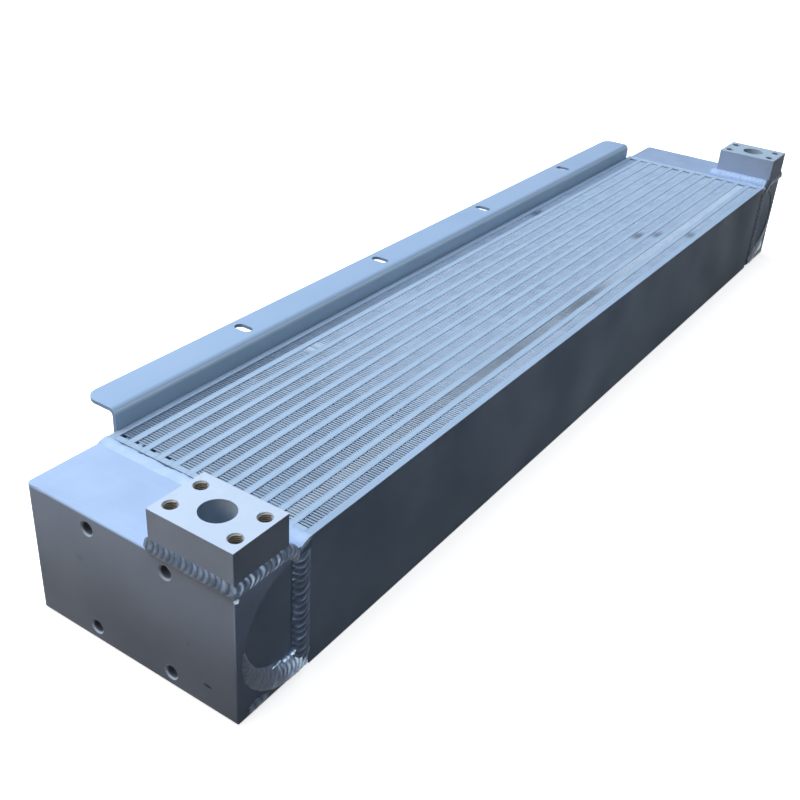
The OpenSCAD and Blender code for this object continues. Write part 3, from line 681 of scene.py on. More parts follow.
# %% The tree that folds a fin: bends and lips
from_middle = add(fold_tree, "ShaderNodeMath", [number, 3.5], operation="SUBTRACT")
from_middle = add(fold_tree, "ShaderNodeMath", [from_middle], operation="ABSOLUTE")
is_top = add(fold_tree, "ShaderNodeMath", [from_middle, 2.0], operation="GREATER_THAN")
is_crown = add(fold_tree, "ShaderNodeMath", [from_middle, 3.0], operation="GREATER_THAN")
spine_x = add(fold_tree, "ShaderNodeSeparateXYZ", [spine.outputs["Place"]]).outputs[0]
rub = add(fold_tree, "ShaderNodeTexNoise", {"W": spine_x, "Scale": 180.0, "Detail": 2.0},
          noise_dimensions="1D")
total_bend = 0.0
for bend_name in ("Bend A", "Bend B"):
    bend = add(fold_tree, "ShaderNodeSeparateXYZ", [g[bend_name]])
    away = add(fold_tree, "ShaderNodeMath", [spine_x, bend.outputs[0]], operation="SUBTRACT")
    away = add(fold_tree, "ShaderNodeMath", [away], operation="ABSOLUTE")
    away = add(fold_tree, "ShaderNodeMath", [away, bend.outputs[1]], operation="DIVIDE")
    near_by = add(fold_tree, "ShaderNodeMath", [1.3, away], operation="SUBTRACT", use_clamp=True)
    total_bend = add(fold_tree, "ShaderNodeMath", [near_by, bend.outputs[2], total_bend],
                     operation="MULTIPLY_ADD")
strength = add(fold_tree, "ShaderNodeMath", [rub.outputs[0], 2.0, -0.2], operation="MULTIPLY_ADD")
pushed = add(fold_tree, "ShaderNodeMath", [total_bend, strength], operation="MULTIPLY")
pushed = add(fold_tree, "ShaderNodeMath", [pushed, is_top], operation="MULTIPLY")
drop = add(fold_tree, "ShaderNodeMath", [pushed], operation="ABSOLUTE")
drop = add(fold_tree, "ShaderNodeMath", [drop, -0.35, level], operation="MULTIPLY_ADD")
flat_side = add(fold_tree, "ShaderNodeVectorMath", [spine.outputs["Along"], (0.0, 0.0, 1.0)],
                operation="CROSS_PRODUCT")
flat_side = add(fold_tree, "ShaderNodeVectorMath", [flat_side], operation="NORMALIZE")
own_x = add(fold_tree, "ShaderNodeMath", [g["Seed"], 3.7, spine_x], operation="MULTIPLY_ADD")
drift = add(fold_tree, "ShaderNodeTexNoise", {"W": own_x, "Scale": 22.0, "Detail": 2.0},
            noise_dimensions="1D")
drift = add(fold_tree, "ShaderNodeMath", [drift.outputs[0], 0.45], operation="SUBTRACT")
lip = add(fold_tree, "ShaderNodeMath", [drift, g["Lip Wander"], g["Lip"]], operation="MULTIPLY_ADD")
widest = add(fold_tree, "ShaderNodeMix", {0: is_crown, 2: lip, 3: g["Crown"]})
widest = add(fold_tree, "ShaderNodeMath", [widest, g["Foil"]], operation="SUBTRACT")
widest = add(fold_tree, "ShaderNodeMath", [widest, spine.outputs["On Wall"]], operation="MULTIPLY")
thick = add(fold_tree, "ShaderNodeMath", [widest, is_top, g["Foil"]], operation="MULTIPLY_ADD")
half_foil = add(fold_tree, "ShaderNodeMath", [thick_side, thick], operation="MULTIPLY")
sideways = add(fold_tree, "ShaderNodeVectorMath", {0: flat_side, 3: half_foil}, operation="SCALE")
lifted = add(fold_tree, "ShaderNodeCombineXYZ", [pushed, 0.0, drop])
final_place = add(fold_tree, "ShaderNodeVectorMath", [spine.outputs["Place"], sideways], operation="ADD")
final_place = add(fold_tree, "ShaderNodeVectorMath", [final_place, lifted], operation="ADD")
shaped = add(fold_tree, "GeometryNodeSetPosition", {"Geometry": swept, "Position": final_place})
real = add(fold_tree, "GeometryNodeRealizeInstances", [shaped])
finished = add(fold_tree, "GeometryNodeSetMaterial", {"Geometry": real, "Material": g["Finish"]})
add(fold_tree, "NodeGroupOutput", [finished])
print("nodes in the tree of a fin:", len(fold_tree.nodes))

# %% [markdown]
# Between two crowns of a row the eye meets a second wall a little deeper. So each row is two
# strips: a shallow one with the crowns, and one from just below it down to the underside, half a
# pitch further along. Some rows are knocked, their far ends stop a little short of the bar, and
# the four rows at the back start with a lump of crushed foil.

# %% Twelve rows of fins
# Row 1 is at the back. A bend is (x, reach, push) and an end gap is the room at the far bar, in mm.
BAR, LOWEST_Y, ROW_PITCH = 5.4, 6.2, 14.85
BENT = {1: [(702, 9, 1.2)], 2: [(277, 10, -1.6), (195, 10, 1.2)], 3: [(309, 10, 1.2)],
        9: [(718, 9, 1.4), (92, 5, 1.5)], 10: [(737, 9, 1.4)], 11: [(440, 60, 0.8)], 12: [(762, 9, 1.4)]}
END_GAP = {1: 5.0, 2: 3.0, 3: 2.6, 4: 3.2, 5: 4.5, 6: 3.2,
           7: 2.6, 8: 3.6, 9: 3.2, 10: 2.8, 11: 5.0, 12: 3.4}
for cad_row in range(1, 13):
    row = 13 - cad_row
    low_y = LOWEST_Y + (cad_row - 1) * ROW_PITCH
    start_x = CORE_X + BAR + (2.4 if row in (1, 2, 3, 4) else 0.6)
    half_pitch = (CORE_END_X - BAR - END_GAP[row] - start_x) / FOLDS
    upper = {1: shaded_foil, 11: pale_foil}.get(row, foil)
    lower = pale_foil if row == 11 else painted_shade_deep_foil
    tiers = []
    for shift, top_z, bottom_z, lip, finish in ((0.0, 109.1, 108.5, 1.45, upper),
                                                (0.5, 108.4, 1.0, 1.95, lower)):
        sizes = {"Start X": at(start_x + shift * half_pitch, 0, 0).x, "Row Y": at(0, low_y, 0).y,
                 "Half Pitch": half_pitch / 1000, "Folds": FOLDS - round(2 * shift), "Top Z": top_z / 1000,
                 "Bottom Z": bottom_z / 1000, "Lip": lip / 1000, "Seed": cad_row, "Finish": finish}
        for bend_name, (bx, reach, push) in zip(("Bend A", "Bend B"), BENT.get(row, [])):
            sizes[bend_name] = (at(bx, 0, 0).x, reach / 1000, push * (1.0 - shift) / 1000)
        tiers.append(grown("tier", fold_tree, bpy.data.meshes.new("empty"), sizes))
    # The crushed start of a row is a block of foil between the bar and the first fold.
    plug = []
    if row in (1, 3, 4):
        plug = [((start_x - 2.2, low_y + 0.2, 96), (start_x + 0.4, low_y + 5.2, 108.4))]
    if row == 2:
        plug = [((start_x - 2.2, low_y + 2.6, 96), (start_x + 0.4, low_y + 6.6, 108.8))]
    fins = joined("fins_row_%02d" % cad_row, tiers, plug, slot="air_fin")
    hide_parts("air_fin_%02d" % cad_row)
print("fin faces per row:", len(fins.data.polygons))

# %% [markdown]
# A weld bead is a row of small frozen puddles, each lapping the last one, laid along a joint. Its
# path, the direction it stands out in, its half width and its rise are given as points, and one
# node tree does the rest. First it sweeps a closed section of 24 points along the path, and keeps
# for every vertex where it lies along the bead and round it.

# %% The tree that lays a bead: its path and section
bead_tree = bpy.data.node_groups.new("rippled_bead", "GeometryNodeTree")
socket(bead_tree, "Geometry", "NodeSocketGeometry", out=True)
socket(bead_tree, "Geometry", "NodeSocketGeometry")
BEAD_SIZES = {"Ripple": 0.005, "Depth": 0.35, "Lean": 0.5, "Sharpness": 0.6, "Scale Like": 0.0,
              "Wander": 0.12, "Sink": 0.0015, "Roundness": 1.15, "Contrast": 0.8, "Glint": 0.5,
              "Step": 0.0006, "Seed": 1.0}
for size_name, size in BEAD_SIZES.items():
    socket(bead_tree, size_name, "NodeSocketFloat", size)
socket(bead_tree, "Finish", "NodeSocketMaterial")
g = add(bead_tree, "NodeGroupInput").outputs
path = add(bead_tree, "GeometryNodeMeshToCurve", [g["Geometry"]])
fine_path = add(bead_tree, "GeometryNodeResampleCurve", {"Curve": path, "Length": g["Step"]}, mode="LENGTH")
spine = add(bead_tree, "GeometryNodeCaptureAttribute")
for kind, name in (("VECTOR", "Place"), ("VECTOR", "Along"), ("VECTOR", "Out"), ("FLOAT", "Half"),
                   ("FLOAT", "Rise"), ("FLOAT", "Run"), ("FLOAT", "Shine")):
    spine.capture_items.new(kind, name)
bead_tree.links.new(fine_path.outputs[0], spine.inputs["Geometry"])
sources = {"Place": add(bead_tree, "GeometryNodeInputPosition").outputs[0],
           "Along": add(bead_tree, "GeometryNodeInputTangent").outputs[0],
           "Run": add(bead_tree, "GeometryNodeSplineParameter").outputs["Length"]}
for name, own, kind in (("Out", "outward", "FLOAT_VECTOR"), ("Half", "half_width", "FLOAT"),
                        ("Rise", "rise", "FLOAT"), ("Shine", "painted_light", "FLOAT")):
    told = add(bead_tree, "GeometryNodeInputNamedAttribute", {"Name": own}, data_type=kind)
    sources[name] = told.outputs[0]
for name, source in sources.items():
    bead_tree.links.new(source, spine.inputs[name])
section = add(bead_tree, "GeometryNodeCaptureAttribute")
section.capture_items.new("FLOAT", "Turn")
bead_tree.links.new(add(bead_tree, "GeometryNodeCurvePrimitiveCircle", {"Resolution": 24}).outputs[0],
                    section.inputs["Geometry"])
bead_tree.links.new(add(bead_tree, "GeometryNodeSplineParameter").outputs["Factor"], section.inputs["Turn"])
swept = add(bead_tree, "GeometryNodeCurveToMesh", {"Curve": spine.outputs["Geometry"],
                                                   "Profile Curve": section.outputs["Geometry"],
                                                   "Fill Caps": True})
angle = add(bead_tree, "ShaderNodeMath", [section.outputs["Turn"], 2 * math.pi], operation="MULTIPLY")
print("what the bead keeps of its path:", ", ".join(sources))

# %% [markdown]
# Then the surface is pushed out by a half round dome that is pinched between the ripples. A lean
# makes the ripples curved, or pointed like chevrons, because the puddle freezes from its edges
# inwards, and noise makes the ripples, the height and the edges wander as a hand does.

# %% The tree that lays a bead: its ripples
u = add(bead_tree, "ShaderNodeMath", [angle], operation="COSINE")
v = add(bead_tree, "ShaderNodeMath", [angle], operation="SINE")
out = add(bead_tree, "ShaderNodeVectorMath", [spine.outputs["Out"]], operation="NORMALIZE")
across = add(bead_tree, "ShaderNodeVectorMath", [out, spine.outputs["Along"]], operation="CROSS_PRODUCT")
across = add(bead_tree, "ShaderNodeVectorMath", [across], operation="NORMALIZE")
run = add(bead_tree, "ShaderNodeMath", [g["Seed"], 0.37, spine.outputs["Run"]], operation="MULTIPLY_ADD")
slow = add(bead_tree, "ShaderNodeTexNoise", {"W": run, "Scale": 60.0, "Detail": 1.0}, noise_dimensions="1D")
quick_noise = add(bead_tree, "ShaderNodeTexNoise", {"W": run, "Scale": 260.0, "Detail": 2.0},
                  noise_dimensions="1D")
slow_signed = add(bead_tree, "ShaderNodeMath", [slow.outputs[0], 0.5], operation="SUBTRACT")
quick_signed = add(bead_tree, "ShaderNodeMath", [quick_noise.outputs[0], 0.5], operation="SUBTRACT")
squared = add(bead_tree, "ShaderNodeMath", [u, u], operation="MULTIPLY")
bulge = add(bead_tree, "ShaderNodeMath", [squared, spine.outputs["Half"]], operation="MULTIPLY")
led = add(bead_tree, "ShaderNodeMath", [bulge, g["Lean"], spine.outputs["Run"]], operation="MULTIPLY_ADD")
led = add(bead_tree, "ShaderNodeMath", [quick_signed, 0.004, led], operation="MULTIPLY_ADD")
phase = add(bead_tree, "ShaderNodeMath", [led, g["Ripple"]], operation="DIVIDE")
wave = add(bead_tree, "ShaderNodeMath", [phase, math.pi], operation="MULTIPLY")
wave = add(bead_tree, "ShaderNodeMath", [wave], operation="SINE")
wave = add(bead_tree, "ShaderNodeMath", [wave], operation="ABSOLUTE")
crest = add(bead_tree, "ShaderNodeMath", [wave, g["Sharpness"]], operation="POWER")
valley = add(bead_tree, "ShaderNodeMath", [1.0, crest], operation="SUBTRACT")
lapped = add(bead_tree, "ShaderNodeMath", [phase], operation="FRACT")
back_up = add(bead_tree, "ShaderNodeMapRange", {"Value": lapped, "From Min": 0.78, "From Max": 1.0,
                                                "To Min": 1.0, "To Max": 0.0},
              interpolation_type="SMOOTHSTEP")
lapped = add(bead_tree, "ShaderNodeMath", [lapped, back_up], operation="MULTIPLY")
valley = add(bead_tree, "ShaderNodeMix", {0: g["Scale Like"], 2: valley, 3: lapped})
pinch = add(bead_tree, "ShaderNodeMath", [valley, g["Depth"]], operation="MULTIPLY")
kept = add(bead_tree, "ShaderNodeMath", [1.0, pinch], operation="SUBTRACT")
uneven = add(bead_tree, "ShaderNodeMath", [slow_signed, g["Wander"]], operation="MULTIPLY")
kept = add(bead_tree, "ShaderNodeMath", [kept, uneven], operation="ADD")
dome = add(bead_tree, "ShaderNodeMath", [v, 0.0], operation="MAXIMUM")
dome = add(bead_tree, "ShaderNodeMath", [dome, g["Roundness"]], operation="POWER")
height = add(bead_tree, "ShaderNodeMath", [dome, kept], operation="MULTIPLY")
height = add(bead_tree, "ShaderNodeMath", [height, spine.outputs["Rise"]], operation="MULTIPLY")
under = add(bead_tree, "ShaderNodeMath", [v, 0.0], operation="MINIMUM")
under = add(bead_tree, "ShaderNodeMath", [under, g["Sink"], height], operation="MULTIPLY_ADD")
edge = add(bead_tree, "ShaderNodeMath", [quick_signed, 0.5], operation="MULTIPLY")
edge = add(bead_tree, "ShaderNodeMath", [edge, g["Wander"]], operation="MULTIPLY")
edge = add(bead_tree, "ShaderNodeMath", [edge, 1.0], operation="ADD")
edge = add(bead_tree, "ShaderNodeMath", [pinch, -0.15, edge], operation="MULTIPLY_ADD")
wide = add(bead_tree, "ShaderNodeMath", [edge, spine.outputs["Half"]], operation="MULTIPLY")
wide = add(bead_tree, "ShaderNodeMath", [wide, u], operation="MULTIPLY")
sideways = add(bead_tree, "ShaderNodeVectorMath", {0: across, 3: wide}, operation="SCALE")
outwards = add(bead_tree, "ShaderNodeVectorMath", {0: out, 3: under}, operation="SCALE")
spot = add(bead_tree, "ShaderNodeVectorMath", [spine.outputs["Place"], sideways], operation="ADD")
spot = add(bead_tree, "ShaderNodeVectorMath", [spot, outwards], operation="ADD")
shaped = add(bead_tree, "GeometryNodeSetPosition", {"Geometry": swept, "Position": spot})
print("ripple of a bead in mm, if nothing else is said:", BEAD_SIZES["Ripple"] * 1000)

# %% [markdown]
# The valleys and crests of a bead get painted shade and painted highlights. The tree writes them on
# every vertex as a shade: low in the valleys, about one on the ripples, and high on the crests in
# patches, where the finish turns it into a glint, and the painted light of the path scales it. It
# is part of the surface and doesn't depend on where the camera stands.

# %% The tree that lays a bead: its shade
# Painted shade in the valleys of the ripples.
darker = add(bead_tree, "ShaderNodeMath", [g["Contrast"], -1.0], operation="MULTIPLY")
shade = add(bead_tree, "ShaderNodeMath", [valley, darker, 1.25], operation="MULTIPLY_ADD")
mottle = add(bead_tree, "ShaderNodeMath", [quick_signed, 0.8, 1.0], operation="MULTIPLY_ADD")
shade = add(bead_tree, "ShaderNodeMath", [shade, mottle], operation="MULTIPLY")
# Painted highlights on the crests, in patches.
peak = add(bead_tree, "ShaderNodeMath", [1.0, valley], operation="SUBTRACT")
peak = add(bead_tree, "ShaderNodeMath", [peak, 5.0], operation="POWER")
patches = add(bead_tree, "ShaderNodeTexNoise", {"Scale": 170.0, "Detail": 1.0})
patches = add(bead_tree, "ShaderNodeMapRange", {"Value": patches.outputs["Fac"], "From Min": 0.42,
                                                "From Max": 0.62})
glint = add(bead_tree, "ShaderNodeMath", [peak, patches], operation="MULTIPLY")
glint = add(bead_tree, "ShaderNodeMath", [glint, g["Glint"]], operation="MULTIPLY")
shade = add(bead_tree, "ShaderNodeMath", [shade, glint], operation="ADD")
# The painted light along the path scales the bead's shade.
shade = add(bead_tree, "ShaderNodeMath", [shade, spine.outputs["Shine"]], operation="MULTIPLY")
told = add(bead_tree, "GeometryNodeStoreNamedAttribute",
           {"Geometry": shaped, "Name": "shade", "Value": shade}, data_type="FLOAT", domain="POINT")
real = add(bead_tree, "GeometryNodeRealizeInstances", [told])
finished = add(bead_tree, "GeometryNodeSetMaterial", {"Geometry": real, "Material": g["Finish"]})
add(bead_tree, "NodeGroupOutput", [finished])
print("nodes in the tree of a bead:", len(bead_tree.nodes))

# %% [markdown]
# The welds at the far end and at the back are mirror images of those in front, so one function
# turns a list of points into the wire that a bead follows, and mirrors the numbers rather than a
# mesh, which would turn its faces inside out.

# %% Lists of points as wires, and the weld between a tank and the core
# Painted shade: the welds at the far end are painted darker by this factor.
FAR_PAINTED_SHADE, GAP_X = 0.42, 64.0


def wire(points, far=False, back=False, painted_light=0.7):
    """A path as a wire mesh. Each point is (x, y, z, outward, half width, rise), in millimetres, and
    its own painted light may follow, a brightness painted onto the bead. The far end gets painted
    shade throughout."""
    mesh = bpy.data.meshes.new("wire")
    places, outs, halves, rises, painted_lights = [], [], [], [], []
    for x, y, z, out, half, rise, *own in points:
        painted_lights.append((own[0] if own else painted_light) * (FAR_PAINTED_SHADE if far else 1.0))
        out = Vector(out)
        if far:
            x, out.x = LENGTH - x, -out.x
        if back:
            y, out.y = CORE_W - y, -out.y
        places.append(at(x, y, z))
        outs.append(out)
        halves.append(half / 1000)
        rises.append(rise / 1000)
    mesh.from_pydata(places, [(i, i + 1) for i in range(len(places) - 1)], [])
    flat_outs = [c for out in outs for c in out]
    mesh.attributes.new("outward", "FLOAT_VECTOR", "POINT").data.foreach_set("vector", flat_outs)
    for name, values in (("half_width", halves), ("rise", rises), ("painted_light", painted_lights)):
        mesh.attributes.new(name, "FLOAT", "POINT").data.foreach_set("value", values)
    return mesh


def tank_joint(far):
    """The weld between a tank and the core: a filled gap, two side beads and one over the top."""
    beads = []
    for back in (False, True):
        rise = 1.2 if far else 2.4
        side = [(62.5, 0, 5, (0, -1, 0), 8.0, 1.2)]
        side += [(62.5, 0, z, (0, -1, 0), 9.4, rise) for z in (12, 40, 70, 101)]
        # The side beads get a painted light a little above one.
        beads.append(grown("side", bead_tree, wire(side, far, back, 1.12),
                           {"Ripple": 0.0054, "Depth": 0.7, "Lean": -0.6, "Scale Like": 0.9, "Wander": 0.3,
                            "Roundness": 1.9, "Contrast": 0.75, "Glint": 0.35, "Seed": 1.0 + back + 2 * far,
                            "Finish": sooty_weld}))
    # Over the core's end the cover pass wanders from side to side, as the list of drifts says.
    top = [(66.5, -0.5, 107.4, (-0.3, 0, 1), 6.4, 2.2), (65.8, 20, 107.3, (-0.4, 0, 1), 7.0, 2.6),
           (65.8, 45, 107.3, (-0.3, 0, 1), 6.2, 2.0)]
    for y, drift in ((62, 0.0), (70, 0.5), (79, -0.4), (90, 0.3), (97, -0.5), (108, 0.5),
                     (118, 0.1), (127, -0.6), (139, 0.4), (150, -0.3), (158, 0.5), (169, -0.2)):
        top.append((65.5 + drift, y, 107.5 + 0.3 * drift, (-0.28, 0, 1), 5.4, 1.2))
    top += [(66.2, 178, 107.6, (-0.3, 0, 1), 5.6, 1.6), (67.0, 185.5, 107.6, (-0.3, 0, 1), 5.4, 1.8)]
    beads.append(grown("top", bead_tree, wire(top, far),
                       {"Ripple": 0.0075, "Depth": 0.14, "Lean": 0.5, "Wander": 0.5, "Seed": 9.0 + far,
                        "Finish": brushed_weld}))
    # The gap between the tank and the core is filled by four walls of weld behind the beads.
    x1, x2 = (LENGTH - CORE_X, LENGTH - GAP_X) if far else (GAP_X, CORE_X)
    walls = [((x1, 0, 3.5), (x2, 7, 106.2)), ((x1, 178, 3.5), (x2, 185, 106.2)),
             ((x1, 6.9, 3.5), (x2, 178.1, 9)), ((x1, 6.9, 100.5), (x2, 178.1, 106.2))]
    return joined(("far" if far else "near") + "_joint_weld", beads, walls)


print("gap that the weld fills between a tank and the core:", CORE_X - GAP_X, "mm")

# %% [markdown]
# A port block stands flush with the tank's end and front, so its weld can't be a fillet there: one
# bead runs round the outside of its foot, turns the corner, and runs down the joint in front. On
# the other two sides a fillet fills the corner between the block and the top of the tank.

# %% The weld round the foot of a port block
def block_weld(far):
    """The bead round the outer foot of a port block, and the fillets along its inner feet."""
    # Along the end face, from the back of the block to its front corner.
    # A point's seventh number is its painted light: low along the end face, where it paints shade, and
    # higher round the corner and in front.
    z, left = 112.4, (-1, 0, 0.3)
    outer = [(0.4, 73.5, z, left, 3.0, 1.0, 0.36), (0.4, 70, z, left, 5.4, 2.4, 0.38),
             (0.4, 40, z, left, 5.6, 2.6, 0.40), (0.4, 2, z, left, 5.6, 2.6, 0.40)]
    for turn in (22.5, 45, 67.5):
        c, s = math.cos(math.radians(turn)), math.sin(math.radians(turn))
        outer.append((2 - 1.6 * c, 2 - 1.4 * s, z, (-c, -s, 0.3 + 0.2 * s), 5.6, 2.7, 0.40 + 0.5 * s))
    # Along the front of the foot, then down over the joint.
    front = (0, -1, 0.5)
    outer += [(2, 0.8, z, front, 5.6, 2.5, 0.84), (44, 0.8, z, front, 5.7, 2.5, 0.88),
              (49, 0.8, z - 1.0, front, 5.6, 2.5, 0.8), (53.5, 0.6, z - 4.5, front, 5.2, 2.7),
              (57, 0.5, z - 9.0, front, 5.0, 2.3), (60, 0.3, z - 13.5, front, 4.2, 1.7)]
    d = math.sqrt(0.5)
    big = 1.9 if far else 0.0
    inner = [(BLOCK_L, 0.5, TANK_TOP, (d, 0, d), 6.0 + big, 4.4 + big),
             (BLOCK_L, 66, TANK_TOP, (d, 0, d), 6.2 + big, 4.6 + big),
             (49.5, 71.5 + big, TANK_TOP, (0.5, 0.5, 0.7), 5.0 + big, 4.0 + big)]
    behind = [(49.5, BLOCK_W, TANK_TOP, (0, d, d), 5.4, 4.0),
              (PORT_X, BLOCK_W, TANK_TOP, (0, d, d), 5.6, 4.2),
              (1, BLOCK_W, TANK_TOP, (0, d, d), 5.2, 3.6)]
    beads = []
    for points, ripple, depth, lean, sink, contrast, roundness, seed, finish in (
            (outer, 0.0047, 0.28, 0.8, 0.0015, 0.75, 0.85, 21.0, weld_metal),
            (inner, 0.0050, 0.12 if far else 0.25, 0.6, 0.0010, 0.8, 1.15, 31.0, brushed_weld),
            (behind, 0.0050, 0.25, 0.6, 0.0010, 0.8, 1.15, 41.0, brushed_weld)):
        beads.append(grown("bead", bead_tree, wire(points, far),
                           {"Ripple": ripple, "Depth": depth, "Lean": lean, "Sink": sink,
                            "Contrast": contrast, "Glint": 1.0, "Wander": 0.3, "Roundness": roundness,
                            "Seed": seed + far, "Finish": finish}))
    return joined(("far" if far else "near") + "_block_weld", beads)


print("a port block's foot is welded round", 2 * (BLOCK_L + BLOCK_W), "mm")

# %% [markdown]
# The caps are set flush into the tank, and only at their foot a crescent of weld stands proud. It
# swells from a thin start at the tank's end to a wide finish at the core, which painted light makes
# bright, and a few lumps of spatter lie beside it, bright with painted highlights.

# %% The crescents on the caps
# Points (x, z, half width, rise, painted light), then lumps (x, z, length, half width, rise), all in
# mm but the painted light, a brightness painted onto the bead.
CRESCENT = [(6.6, 59, 1.2, 0.3, 0.5), (8.6, 46, 3.6, 0.7, 0.52), (12.5, 36, 5.6, 1.0, 0.58),
            (18.5, 28.2, 7.4, 1.4, 0.68), (28.5, 20.6, 9.2, 1.8, 0.85), (39, 16.0, 10.2, 2.3, 1.1),
            (50, 14.1, 10.2, 2.5, 1.4), (60, 12.6, 9.0, 2.2, 1.55), (68, 10.4, 6.4, 1.6, 1.5)]
LUMPS = [(47.0, 23.6, 7.0, 1.9, 2.4), (53.5, 24.0, 5.0, 1.9, 2.6), (37.0, 25.6, 9.0, 1.1, 1.4),
         (66, 5.0, 6.0, 2.2, 2.3), (1.9, 103.5, 3.0, 2.0, 1.2)]


def cap_weld(far):
    """The crescents at the foot of the two caps of a tank, one on each face."""
    beads = []
    for back in (False, True):
        points = [(x, 0, z, (0, -1, 0.006 * max(x - 20, 0)), half, rise, painted_light)
                  for x, z, half, rise, painted_light in CRESCENT]
        beads.append(grown("crescent", bead_tree, wire(points, far, back),
                           {"Ripple": 0.0044, "Depth": 0.4, "Lean": 0.7, "Scale Like": 0.5, "Wander": 0.3,
                            "Roundness": 1.6, "Contrast": 0.8, "Glint": 1.0, "Seed": 51.0 + back + 2 * far,
                            "Finish": weld_metal}))
        up = (0, -1, 0.6)
        for x, z, length, half, rise in [] if far or back else LUMPS:
            lump = [(x - length / 2, 0, z - 0.4, up, half / 2, rise / 2), (x, 0, z, up, half, rise),
                    (x + length / 2, 0, z + 0.4, up, half / 2, rise / 2)]
            beads.append(grown("lump", bead_tree, wire(lump, painted_light=1.6),
                               {"Ripple": 0.0031, "Depth": 0.3, "Lean": 0.2, "Contrast": 0.4, "Seed": x,
                                "Finish": weld_metal}))
        if far and not back:
            # A bead along the far crescent, turned up to the sky so that it catches light, and with a high
            # painted light as well: a painted highlight that shines from a distance.
            glint = [(46, 0.8, 12.5, (0, -1, 1), 2.0, 1.0), (38, 0.8, 14, (0, -1, 1), 4.2, 2.2),
                     (22, 0.8, 18, (0, -1, 1), 4.2, 2.2), (14, 0.8, 21, (0, -1, 1), 2.0, 1.0)]
            beads.append(grown("glint", bead_tree, wire(glint, far, back, 4.3),
                               {"Ripple": 0.006, "Seed": 81.0, "Finish": weld_metal}))
        blob = [(10, 0, 6.4, (0, -1, 0), 2.0, 0.6), (16, 0, 6.6, (0, -1, 0), 4.4, 1.5),
                (24, 0, 6.6, (0, -1, 0), 4.2, 1.4), (29, 0, 6.4, (0, -1, 0), 2.0, 0.5)]
        beads.append(grown("blob", bead_tree, wire(blob, far, back),
                           {"Ripple": 0.0060, "Depth": 0.2, "Lean": 0.3, "Seed": 61.0 + back + 2 * far,
                            "Finish": weld_metal}))
    return joined(("far" if far else "near") + "_crescents", beads)


for far in (False, True):
    end = "far" if far else "near"
    for piece, node in ((tank_joint(far), end + "_tank_weld"), (block_weld(far), end + "_port_weld"),
                        (cap_weld(far), end + "_cap_welds")):
        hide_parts(node)
        print(piece.name, len(piece.data.polygons), "faces")

# %% [markdown]
# Nothing of the flange's hold shows in the photograph. A thin sheet on a long core is held by
# short stitches, because a full bead would pull it out of line, so five of them run under its leg.

# %% Stitch welds under the flange
FLANGE_L, FLANGE_X, STITCHES = 901.0, 79.5, 5
stitches = []
for number in range(STITCHES):
    x = FLANGE_X + (number + 0.5) * (FLANGE_L / STITCHES)
    foot = [(x + dx, 185.2, 49.3, (0, 0.7, -0.7), half, rise)
            for dx, half, rise in ((-22.5, 1.6, 1.6), (-19, 2.4, 2.3), (19, 2.4, 2.3), (22.5, 1.6, 1.6))]
    stitches.append(grown("stitch", bead_tree, wire(foot),
                          {"Ripple": 0.004, "Depth": 0.3, "Lean": 0.5, "Sink": 0.0003,
                           "Seed": 71.0 + number, "Finish": weld_metal}))
stitch_welds = joined("flange_stitches", stitches)
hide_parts("flange_welds")
print("stitches:", len(stitches), "with", len(stitch_welds.data.polygons), "faces")

# %% [markdown]
# Sixteen tapped holes hold bolts: four round each port and four in each end face. A thread is a
# spiral ridge, so one spiral is drawn from its pitch and swept, then copied to each hole's mouth
# and turned along the hole. The depth that can be seen into a hole is all that needs a thread.

# %% The tree that cuts a thread
thread_tree = bpy.data.node_groups.new("thread", "GeometryNodeTree")
socket(thread_tree, "Geometry", "NodeSocketGeometry", out=True)
socket(thread_tree, "Geometry", "NodeSocketGeometry")
for size_name, size in {"Radius": HOLE_RADIUS, "Pitch": 0.0015, "Ridge": 0.0009, "Turns": 11.0}.items():
    socket(thread_tree, size_name, "NodeSocketFloat", size)
socket(thread_tree, "Finish", "NodeSocketMaterial")
g = add(thread_tree, "NodeGroupInput").outputs
deep = add(thread_tree, "ShaderNodeMath", [g["Turns"], g["Pitch"]], operation="MULTIPLY")
spiral = add(thread_tree, "GeometryNodeCurveSpiral",
             {"Resolution": 28, "Rotations": g["Turns"], "Height": deep, "Start Radius": g["Radius"],
              "End Radius": g["Radius"]})
ridge = add(thread_tree, "GeometryNodeCurvePrimitiveCircle", {"Resolution": 4, "Radius": g["Ridge"]})
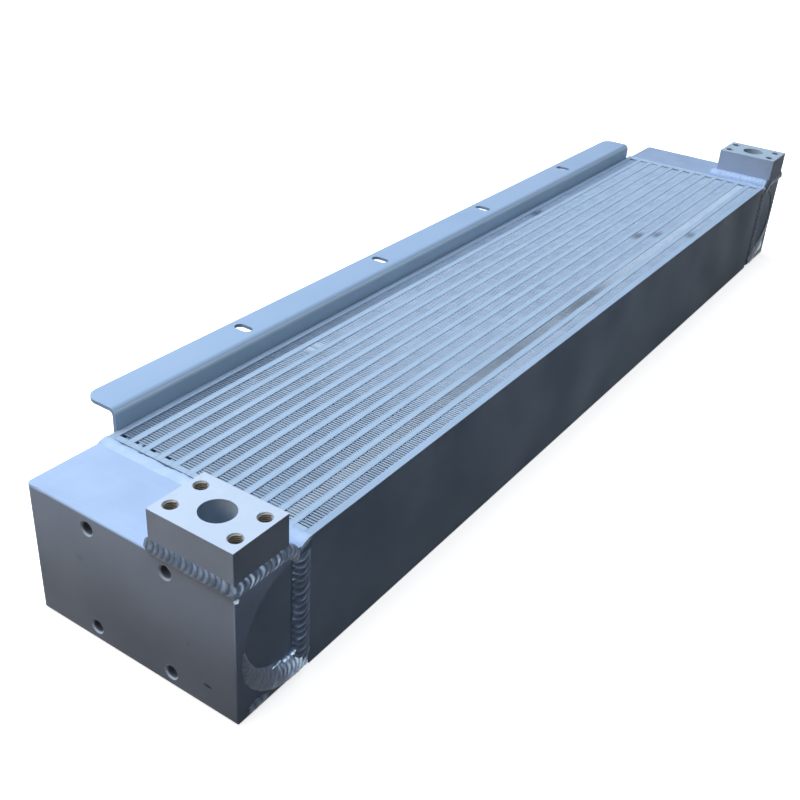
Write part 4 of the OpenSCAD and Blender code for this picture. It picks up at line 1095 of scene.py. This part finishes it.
ridge_mesh = add(thread_tree, "GeometryNodeCurveToMesh",
                 {"Curve": spiral, "Profile Curve": ridge.outputs[0], "Fill Caps": True})
sunk = add(thread_tree, "GeometryNodeTransform", {"Geometry": ridge_mesh, "Rotation": (math.pi, 0.0, 0.0)})
mouth_way = add(thread_tree, "GeometryNodeInputNamedAttribute", {"Name": "mouth"}, data_type="FLOAT_VECTOR")
facing = add(thread_tree, "FunctionNodeAlignRotationToVector", {"Vector": mouth_way}, axis="Z")
threads = add(thread_tree, "GeometryNodeInstanceOnPoints", {"Points": g["Geometry"], "Instance": sunk,
                                                            "Rotation": facing})
real = add(thread_tree, "GeometryNodeRealizeInstances", [threads])
finished = add(thread_tree, "GeometryNodeSetMaterial", {"Geometry": real, "Material": g["Finish"]})
add(thread_tree, "NodeGroupOutput", [finished])
print("nodes in the tree of a thread:", len(thread_tree.nodes))

# %% [markdown]
# A thread starts a little below the mouth, under the countersink. The near block's threads are lit
# by the sky and show the warm cut metal; the others lie in the dark and get a darker copy, painted
# shade.

# %% Threads in the tapped holes
THREAD_START, LIT_Z = 0.0014, 0.12
ways = [Vector((0, 0, 1))] * 8 + [Vector((-1, 0, 0))] * 4 + [Vector((1, 0, 0))] * 4
mouths = [mouth - way * THREAD_START for mouth, way in zip(block_mouths + end_mouths, ways)]
mouth_mesh = bpy.data.meshes.new("mouths")
mouth_mesh.from_pydata(mouths, [], [])
flat_ways = [float(c) for way in ways for c in way]
mouth_mesh.attributes.new("mouth", "FLOAT_VECTOR", "POINT").data.foreach_set("vector", flat_ways)
threads = grown("bolt_threads", thread_tree, mouth_mesh, {"Finish": cut_thread})
threads.data.materials.clear()
for finish in (cut_thread, painted_shade_thread):
    threads.data.materials.append(finish)
# Threads outside the near block's top get the copy with painted shade.
for face in threads.data.polygons:
    face.material_index = 0 if face.center.z > LIT_Z and face.center.x < 0 else 1
work = bmesh.new()
work.from_mesh(threads.data)
bmesh.ops.recalc_face_normals(work, faces=work.faces)
work.to_mesh(threads.data)
work.free()
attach(threads, "root")
print("threads:", len(mouths), "holes,", len(threads.data.polygons), "faces")
